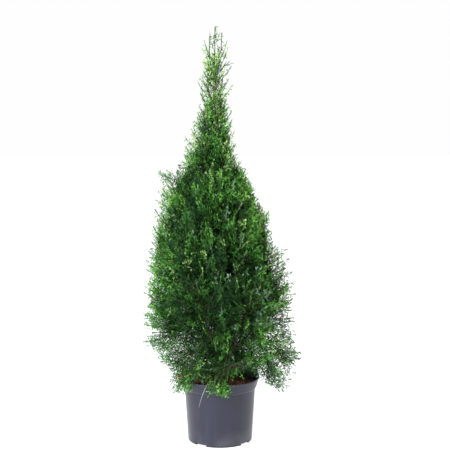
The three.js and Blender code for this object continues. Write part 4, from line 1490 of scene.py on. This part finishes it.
class ARBORVITAE_OT_twigs(bpy.types.Operator):
    """Grows the stems of the masses and the twigs that carry the sprays"""
    bl_idname = "arborvitae.twigs"
    bl_label = "Stems and twigs"

    def execute(self, context):
        settings = context.scene.arborvitae_bark
        random = np.random.default_rng(SEEDS["twigs"])
        draft = MeshDraft()
        for mass in plan_masses():
            over_rim = mass.tier == "rim_sprig"
            shares = np.linspace(0, RIM_STEM_SHARE if over_rim else 1, STEM_SKIN_RINGS)
            radii = lerp((mass.stem_radius, STEM_TIP_RADIUS), shares)
            radii = barked(radii, STEM_BARK_LENGTH, STEM_SIDES, settings.relief, random)
            points = mass.stem.point(shares)
            if mass.bough:
                points[0] = mass.bough.end - mass.bough.tangent(1.0)
            add_limb(draft, points, radii, STEM_SIDES, slot=GREEN_FINISH if over_rim else STEM_FINISH)
        sprays = [spray for growth in grown_masses() for spray in growth.sprays]
        sprays += inner_sprays() + leader_sprays() + whip_sprays() + fringe_sprays()
        for spray in sprays:
            whole = spray.stalk + AXIS_SHARE * spray.length
            thick = TWIG_RADIUS * (TWIG_LEAST + TWIG_GROWTH * whole / LONG_TWIG)
            if spray.level == 2:
                thick *= SIDE_TWIG_SHARE
            ends = np.array([[0], [whole]])
            radii = np.array([thick, TWIG_TIP * thick])
            add_limb(draft, spray.root + spray.along * ends, radii, TWIG_SIDES, slot=TWIG_FINISH)
        dead_twig = Bend(*(np.array(point, float) for point in DEAD_TWIG))
        points = dead_twig.point(np.linspace(0, 1, DEAD_TWIG_RINGS))
        radii = np.linspace(*DEAD_TWIG_RADII, DEAD_TWIG_RINGS)
        add_limb(draft, points, radii, DEAD_TWIG_SIDES, slot=DEAD_FINISH)
        dead = Finish("dead_twig", settings.dead, Roughness=0.8)
        green = Finish("green_twig", settings.twig, Roughness=0.7)
        finishes = [bark_finish(settings, STEM_SHADE), twig_finish(settings), dead.material, green.material]
        twigs = draft.build("stems_and_twigs", finishes, smooth_faces=True)
        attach(twigs, "root")
        return {"FINISHED"}


# Leaf sprays

# A spray is a flat fan: side axes leave its main axis by turns, and branchlets leave those, some forked.
# Leans are in degrees, from the foot of an axis to its tip. Spreads are the ends of random factors.
TEMPLATE_LENGTHS = (20, 30, 42, 56, 72, 92)
TEMPLATES_EACH = 9
Kind = namedtuple("Kind", "axis_step axis_share branchlet_step")
KINDS = {"full": Kind(8, 0.5, 6.2), "open": Kind(10.5, 0.48, 7.4), "slim": Kind(7.5, 0.26, 11)}
SLIGHT_SPREAD = (0.85, 1.15)
AXIS_BOW = 0.06
AXIS_PIECE = 20
AXIS_SPAN = (0.1, 0.93)
AXIS_OVERLAP = 1.15
SIDE_AXIS_LEAN = (50, 28)
SIDE_AXIS_SWAY = 5
SIDE_AXIS_TAPER = 0.75
SIDE_AXIS_FIRST = 0.55
SIDE_AXIS_GROWTH = 2.2
SIDE_AXIS_SPREAD = (0.82, 1.12)
SIDE_AXIS_LEAST = 4
SIDE_AXIS_TURN = -0.35
SIDE_AXIS_SPAN = (0.2, 0.93)
SIDE_AXIS_OVERLAP = 1.12
OUTER_FROM = 0.35
BRANCHLET_LEAN = (42, 30)
LEAN_SWAY = 6
LONG_SIDE = 1.15
SHORT_SIDE = 0.85
BRANCHLET_SHARE = 0.66
BRANCHLET_BASE = 6
BRANCHLET_LENGTH = (7, 23)
LONG_BRANCHLET = 8
BRANCHLET_SPREAD = (0.8, 1.2)
NARROW = 0.85
FORKED_FROM = 9
FORK_AT = 0.42
FORK_SHARE = 0.52
FORK_LEAN = (28, 40)
KITE_SHOULDER = 0.6
KITE_FOLD = 0.2
BRANCHLET_PITCH = 0.25
BRANCHLET_ROLL = 0.7
BRANCHLET_LIFT = 0.4


def spray_branchlets(length, kind, random):
    """Branchlets of one spray: rows of along, across, heading, length, width share and tone."""
    rows = []
    bow = random.uniform(-AXIS_BOW, AXIS_BOW) * length

    def axis_point(u):
        return u, bow * math.sin(math.pi * u / length)

    def add(u, v, heading, size, width, tone):
        rows.append((u, v, heading, size, width, tone))

    def side_axis(u, v, heading, size, outer):
        turn = SIDE_AXIS_TURN * heading
        last = size / 2
        for half in (0, 1):
            start = half * last
            chord = heading + turn * start / (2 * size)
            x, y = u + start * math.cos(chord), v + start * math.sin(chord)
            now = heading + turn * (start + 0.5 * last) / size
            add(x, y, now, last * SIDE_AXIS_OVERLAP, NARROW, 1 if half == 0 else outer)
        t, side = SIDE_AXIS_SPAN[0] * size, 1
        while t < SIDE_AXIS_SPAN[1] * size:
            chord = heading + turn * t / (2 * size)
            x, y = u + t * math.cos(chord), v + t * math.sin(chord)
            lean = math.radians(lerp(BRANCHLET_LEAN, t / size) + random.uniform(-LEAN_SWAY, LEAN_SWAY))
            forward = LONG_SIDE if side * heading < 0 else SHORT_SIDE
            twig = BRANCHLET_SHARE * (size - t) * forward + BRANCHLET_BASE
            twig = min(max(twig, BRANCHLET_LENGTH[0]), BRANCHLET_LENGTH[1])
            twig *= random.uniform(*BRANCHLET_SPREAD)
            tone = outer if t > 0.5 * size or twig > LONG_BRANCHLET else 1
            now = heading + turn * t / size + side * lean
            add(x, y, now, twig, 1, tone)
            if twig > FORKED_FROM:
                fork = FORK_AT * twig
                split = math.radians(random.uniform(*FORK_LEAN)) * random.choice([-1, 1])
                x, y = x + fork * math.cos(now), y + fork * math.sin(now)
                add(x, y, now + split, FORK_SHARE * twig, NARROW, outer)
            side = -side
            t += kind.branchlet_step * random.uniform(*SLIGHT_SPREAD)

    pieces = max(2, round(length / AXIS_PIECE))
    for i in range(pieces):
        u, v = axis_point(length * i / pieces)
        end_u, end_v = axis_point(length * (i + 1) / pieces)
        size = math.hypot(end_u - u, end_v - v)
        add(u, v, math.atan2(end_v - v, end_u - u), size * AXIS_OVERLAP, 1, 0 if i < pieces / 2 else 1)
    u, side = AXIS_SPAN[0] * length, random.choice([-1, 1])
    while u < AXIS_SPAN[1] * length:
        share = u / length
        lean = math.radians(lerp(SIDE_AXIS_LEAN, share) + random.uniform(-SIDE_AXIS_SWAY, SIDE_AXIS_SWAY))
        growth = min(SIDE_AXIS_FIRST + SIDE_AXIS_GROWTH * share, 1)
        size = length * kind.axis_share * (1 - share) ** SIDE_AXIS_TAPER * growth
        x, y = axis_point(u)
        size = max(size * random.uniform(*SIDE_AXIS_SPREAD), SIDE_AXIS_LEAST)
        side_axis(x, y, side * lean, size, 2 if share > OUTER_FROM else 1)
        side = -side
        u += kind.axis_step * random.uniform(*SLIGHT_SPREAD)
    return np.array(rows)


@cache
def spray_templates(width):
    """For each kind and length, a few sprays as vertices, triangles and tones in the spray's own axes."""
    random = np.random.default_rng(SEEDS["templates"])
    templates = []
    for kind, length in product(KINDS.values(), TEMPLATE_LENGTHS):
        for _ in range(TEMPLATES_EACH):
            u, v, heading, size, wide, tone = spray_branchlets(length, kind, random).T
            count = len(u)
            pitch = random.uniform(-BRANCHLET_PITCH, BRANCHLET_PITCH, count)
            roll = random.uniform(-BRANCHLET_ROLL, BRANCHLET_ROLL, count)
            ahead = np.stack([np.cos(heading), np.sin(heading), pitch], -1) * size[:, None]
            flat, tilt = np.cos(roll), np.sin(roll)
            aside = np.stack([-np.sin(heading) * flat, np.cos(heading) * flat, tilt], -1)
            aside *= (0.5 * width * wide * random.uniform(*SLIGHT_SPREAD, count))[:, None]
            base = np.stack([u, v, random.uniform(-BRANCHLET_LIFT, BRANCHLET_LIFT, count)], -1)
            shoulder = base + ahead * KITE_SHOULDER - UP * KITE_FOLD * width
            vertices = np.stack([base, shoulder - aside, base + ahead, shoulder + aside], 1)
            first = 4 * np.arange(count)[:, None, None]
            triangles = first + np.array([[0, 1, 2], [0, 2, 3]])
            templates.append((length, vertices.reshape(-1, 3), triangles.reshape(-1, 3),
                              np.repeat(tone.astype(int), 2)))
    return templates


# In front, patches of painted shade in the hollows between the boughs, patches of painted light on boughs in
# full light, and yellow ones of fresh growth: x, height and radius
PATCHES = {
    "dark": ((-113, 592, 24), (50, 686, 26), (-58, 670, 28), (6, 553, 30), (-17, 448, 30), (23, 470, 24),
             (-86, 535, 26), (87, 411, 28), (-35, 366, 28), (47, 332, 24), (-104, 411, 24), (-127, 636, 24),
             (93, 507, 22)),
    "bright": ((-118, 714, 26), (-141, 545, 28), (87, 714, 28), (105, 614, 26), (0, 314, 28), (123, 343, 28),
               (-104, 794, 22), (-172, 474, 32), (178, 430, 30)),
    "yellow": ((14, 866, 14), (40, 838, 12), (78, 728, 16)),
}
PATCH_SHARE = 0.7
# How the tints' shares change at a bright plume high at the right, at the right side, in the middle, where
# more dark tints stand as painted shade, low in the fringe and among the dry sprays at the lower left, and
# where these are
PLUME_GAINS = (1, 0.4, 0.8, 1.2, 4, 1, 1)
RIGHT_GAINS = (0.8, 0.8, 1, 1.2, 1.8, 1.2, 1)
MIDDLE_SHADE_GAINS = (2, 1.7, 1, 0.7, 0.6, 0.8, 1)
LOW_FRINGE_GAINS = (1, 1, 1, 0.6, 1, 2.4, 1)
DRY_SHARES = (0, 0, 0, 0, 0, 0, 0.8)
PLUME_X = (4, 62)
PLUME_Z = (775, 860)
RIGHT_FROM = 0.3
MIDDLE_WITHIN = 0.5
MIDDLE_TOP = 860
LOW_FRINGE_TOP = 430
DRY_X = (-112, -60)
DRY_TOP = 225


def tint_of(spray, tier, random):
    """Number of the spray's tint: its own, or else dealt by tier and place."""
    if spray.level in TINTS:
        return TINTS.index(spray.level)
    x, y, z = spray.root + spray.along * (spray.stalk + 0.5 * spray.length)
    in_front = y < 0
    centre, half_width = crown_at(z)
    shares = np.array(TINT_SHARES[tier])
    if in_front and PLUME_X[0] < x < PLUME_X[1] and PLUME_Z[0] < z < PLUME_Z[1]:
        shares = shares * PLUME_GAINS
    if x > RIGHT_FROM * half_width:
        shares = shares * RIGHT_GAINS
    # Painted shade: more dark tints in the middle of the front
    if in_front and abs(x - centre) < MIDDLE_WITHIN * half_width and z < MIDDLE_TOP:
        shares = shares * MIDDLE_SHADE_GAINS
    if tier == "fringe" and z < LOW_FRINGE_TOP:
        shares = shares * LOW_FRINGE_GAINS
    # Patches in front take the tints of painted shade, painted light and fresh yellow growth
    if in_front:
        for tint, patches in PATCHES.items():
            near = min(math.hypot(x - across, z - up) / radius for across, up, radius in patches)
            if near < 1 and random.random() < PATCH_SHARE:
                return TINTS.index(tint)
    # Sprays deep inside the crown's outline turn to the tints of painted shade
    depth = half_width - math.hypot(x - centre, y)
    inward = (depth - SHADE_DEPTH[0]) / (SHADE_DEPTH[1] - SHADE_DEPTH[0])
    shares = lerp((shares / shares.sum(), np.array(SHADE_SHARES)), smooth(inward))
    if in_front and DRY_X[0] < x < DRY_X[1] and z < DRY_TOP:
        shares = shares + DRY_SHARES
    return random.choice(len(TINTS), p=shares / shares.sum())


# What the colour of a tint is multiplied by in each of its tones, and what is added: the inner tones are
# darkened as painted shade, and the outer one is lightened and greyed as painted light
TONE_SHADE_AND_LIGHT_GAINS = ((0.15, 0.26, 0.08), (0.58, 0.72, 0.5), (1.98, 1.6, 2.1))
TONE_PAINTED_LIFT = (0, 0, 0.006)


def leaf_finishes(settings):
    """Three plain materials for each tint, from the inner branchlets to the outer ones."""
    finishes = []
    for tint in TINTS:
        colour = np.array(getattr(settings, tint))
        for tone, (gain, painted_lift) in enumerate(zip(TONE_SHADE_AND_LIGHT_GAINS, TONE_PAINTED_LIFT), 1):
            shade = np.clip(colour * gain + painted_lift, 0, 1)
            finish = Finish(f"leaf_{tint}_{tone}", shade, Roughness=0.45, Specular_IOR_Level=0.1)
            finishes.append(finish.material)
    return finishes


# How far the tips of each tier's sprays bend up, as a share of their length, and how much that varies
CURL = {"skirt": -0.05, "lower": 0.05, "middle": 0.1, "upper": 0.12, "shoulder": 0.12, "column": 0.1,
        "whip": 0.08, "crest": 0.06, "leader": 0.08, "inner": 0, "fringe": 0.03, "rim_sprig": -0.08}
CURL_SPREAD = 0.06
CUP = 0.5


def add_sprays(draft, sprays, tints, tier, templates, random):
    """Sets a template on every spray, at its length, and bends it."""
    lengths = np.array([spray.length for spray in sprays])
    nearest = np.abs(lengths[:, None] - np.array(TEMPLATE_LENGTHS)).argmin(axis=1)
    kinds = np.array([list(KINDS).index(spray.kind) for spray in sprays])
    chosen = (kinds * len(TEMPLATE_LENGTHS) + nearest) * TEMPLATES_EACH
    chosen += random.integers(TEMPLATES_EACH, size=len(sprays))
    for number in np.unique(chosen):
        length, vertices, triangles, tones = templates[number]
        picked = [sprays[i] for i in np.flatnonzero(chosen == number)]
        roots = np.array([spray.root + spray.along * spray.stalk for spray in picked])[:, None]
        along = np.array([spray.along for spray in picked])[:, None]
        across = np.array([spray.across for spray in picked])[:, None]
        across = across * random.choice([-1, 1], size=(len(picked), 1, 1))
        normal = np.cross(along, across)
        scale = (lengths[chosen == number] / length)[:, None, None]
        u, v, w = vertices.T[..., None]
        curl = (CURL[tier] + random.uniform(-CURL_SPREAD, CURL_SPREAD, (len(picked), 1, 1))) * length
        cup = random.uniform(-CUP, CUP, (len(picked), 1, 1)) / length
        places = along * u + across * v + normal * (w + cup * v * v) + UP * curl * (u / length) ** 2
        places = roots + places * scale
        offsets = np.arange(len(picked))[:, None, None] * len(vertices)
        slots = tints[chosen == number][:, None] * TONES + tones
        draft.add(places, triangles + offsets, slots.ravel())


# Tiers in more than one piece, and how many pieces each has
PARTS = {"skirt": 2, "lower": 2, "middle": 2}


def spray_pieces():
    """Each piece's tier, number, masses and further sprays."""
    pieces = []
    for tier in [*TIERS, RIM_SPRIG]:
        grown = [growth for growth in grown_masses() if growth.mass.tier == tier["name"]]
        parts = PARTS.get(tier["name"], 1)
        pieces += [(tier["name"], part + 1, grown[part::parts], []) for part in range(parts)]
    further = {"inner": inner_sprays(), "leader": leader_sprays() + whip_sprays(), "fringe": fringe_sprays()}
    return pieces + [(name, 1, [], sprays) for name, sprays in further.items()]


class ARBORVITAE_OT_sprays(bpy.types.Operator):
    """Sets the fans of scale leaves on the twigs, one piece for each tier of the crown"""
    bl_idname = "arborvitae.sprays"
    bl_label = "Leaf sprays"

    def execute(self, context):
        settings = context.scene.arborvitae_leaves
        finishes = leaf_finishes(settings)
        templates = spray_templates(settings.width / MM)
        random = np.random.default_rng(SEEDS["sprays"])
        for name, part, grown, extra in spray_pieces():
            sprays = [spray for growth in grown for spray in growth.sprays] + extra
            tints = np.array([tint_of(spray, name, random) for spray in sprays])
            draft = MeshDraft()
            add_sprays(draft, sprays, tints, name, templates, random)
            piece = draft.build(f"{name}_sprays_{part}", finishes)
            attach(piece, "root")
            nodes = [node_name(growth.mass, "foliage") for growth in grown]
            if nodes:
                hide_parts(*nodes)
        return {"FINISHED"}


# Stage

# In millimetres: half the floor's width, and the camera's sensor
FLOOR_REACH = 8000
SENSOR_WIDTH = 36
# In metres: where the lights point, and each one's place, width, height and colour
LIGHTS_AIM = (0, 0, 0.6)
LIGHTS = {
    "key": ((-2.2, -2.6, 3.0), 1.1, 1.1, (1, 1, 1)),
    "fill": ((2.8, -2.4, 1.6), 2.4, 2.4, (1, 1, 1)),
    "strip": ((-2.0, -2.5, 0.9), 0.2, 1.6, (0.35, 0.6, 1)),
}


def add_light(name, power):
    """Adds a soft light to the stage."""
    place, width, height, colour = LIGHTS[name]
    lamp = bpy.data.lights.new(f"{name}_light", "AREA")
    lamp.shape = "RECTANGLE"
    lamp.size, lamp.size_y = width, height
    lamp.energy = power
    lamp.color = colour
    light = bpy.data.objects.new(f"{name}_light", lamp)
    light.location = place
    x, y, z = np.array(LIGHTS_AIM) - place
    light.rotation_mode = "XYZ"
    light.rotation_euler = (math.atan2(math.hypot(x, y), -z), 0, math.atan2(y, x) - math.pi / 2)
    bpy.context.scene.collection.objects.link(light)


def white_room(sky, wall):
    """White surroundings that the camera sees brighter than they light."""
    world = bpy.data.worlds.new("white_room")
    world.use_nodes = True
    tree = world.node_tree
    lighting, seen = tree.nodes["Background"], tree.nodes.new("ShaderNodeBackground")
    for node, strength in ((lighting, sky), (seen, wall)):
        node.inputs["Color"].default_value = (1, 1, 1, 1)
        node.inputs["Strength"].default_value = strength
    choice = tree.nodes.new("ShaderNodeMixShader")
    rays = tree.nodes.new("ShaderNodeLightPath")
    tree.links.new(rays.outputs["Is Camera Ray"], choice.inputs[0])
    tree.links.new(lighting.outputs[0], choice.inputs[1])
    tree.links.new(seen.outputs[0], choice.inputs[2])
    tree.links.new(choice.outputs[0], tree.nodes["World Output"].inputs["Surface"])
    return world


class ARBORVITAE_OT_stage(bpy.types.Operator):
    """Sets the pale floor, the soft lights and the camera"""
    bl_idname = "arborvitae.stage"
    bl_label = "Stage"

    def execute(self, context):
        settings = context.scene.arborvitae_stage
        scene = context.scene
        draft = MeshDraft()
        corners = [(-1, -1, 0), (1, -1, 0), (1, 1, 0), (-1, 1, 0)]
        draft.add(np.array(corners) * FLOOR_REACH, [[0, 1, 2], [0, 2, 3]])
        pale = Finish("pale_floor", (0.5, 0.5, 0.5), Roughness=0.7)
        pale.shader.inputs["Emission Color"].default_value = (1, 1, 1, 1)
        pale.shader.inputs["Emission Strength"].default_value = settings.glow
        floor = draft.build("floor", [pale.material])
        for name in LIGHTS:
            add_light(name, getattr(settings, name))
        scene.world = white_room(settings.sky, settings.wall)
        scene.view_settings.view_transform = "Standard"

        lens = bpy.data.cameras.new("camera")
        lens.sensor_width = SENSOR_WIDTH
        lens.lens = settings.lens
        camera = bpy.data.objects.new("camera", lens)
        camera.location = (settings.aside, -settings.distance, settings.height)
        camera.rotation_euler = (math.pi / 2 - settings.pitch, 0, 0)
        scene.collection.objects.link(camera)
        scene.camera = camera
        return {"FINISHED"}


# Panel and registration

SETTINGS = {
    "arborvitae_pot": PotSettings,
    "arborvitae_soil": SoilSettings,
    "arborvitae_bark": BarkSettings,
    "arborvitae_leaves": LeafSettings,
    "arborvitae_stage": StageSettings,
}
OPERATORS = (ARBORVITAE_OT_stage, ARBORVITAE_OT_pot, ARBORVITAE_OT_soil, ARBORVITAE_OT_limbs,
             ARBORVITAE_OT_twigs, ARBORVITAE_OT_sprays)


class ARBORVITAE_PT_panel(bpy.types.Panel):
    """Lists the steps that build the plant, with their sizes and colours"""
    bl_idname = "ARBORVITAE_PT_panel"
    bl_label = "Potted Arborvitae"
    bl_space_type = "VIEW_3D"
    bl_region_type = "UI"
    bl_category = "Arborvitae"

    def draw(self, context):
        for name, group in SETTINGS.items():
            box = self.layout.box()
            for key in group.__annotations__:
                box.prop(getattr(context.scene, name), key)
        for operator in OPERATORS:
            self.layout.operator(operator.bl_idname)


CLASSES = (*SETTINGS.values(), *OPERATORS, ARBORVITAE_PT_panel)


def register():
    for each in CLASSES:
        bpy.utils.register_class(each)
    for name, group in SETTINGS.items():
        setattr(bpy.types.Scene, name, PointerProperty(type=group))


def unregister():
    for name in SETTINGS:
        delattr(bpy.types.Scene, name)
    for each in reversed(CLASSES):
        bpy.utils.unregister_class(each)


def main():
    register()
    bpy.ops.arborvitae.stage()
    bpy.ops.arborvitae.pot()
    bpy.ops.arborvitae.soil()
    bpy.ops.arborvitae.limbs()
    bpy.ops.arborvitae.twigs()
    bpy.ops.arborvitae.sprays()


if __name__ == "__main__":
    main()
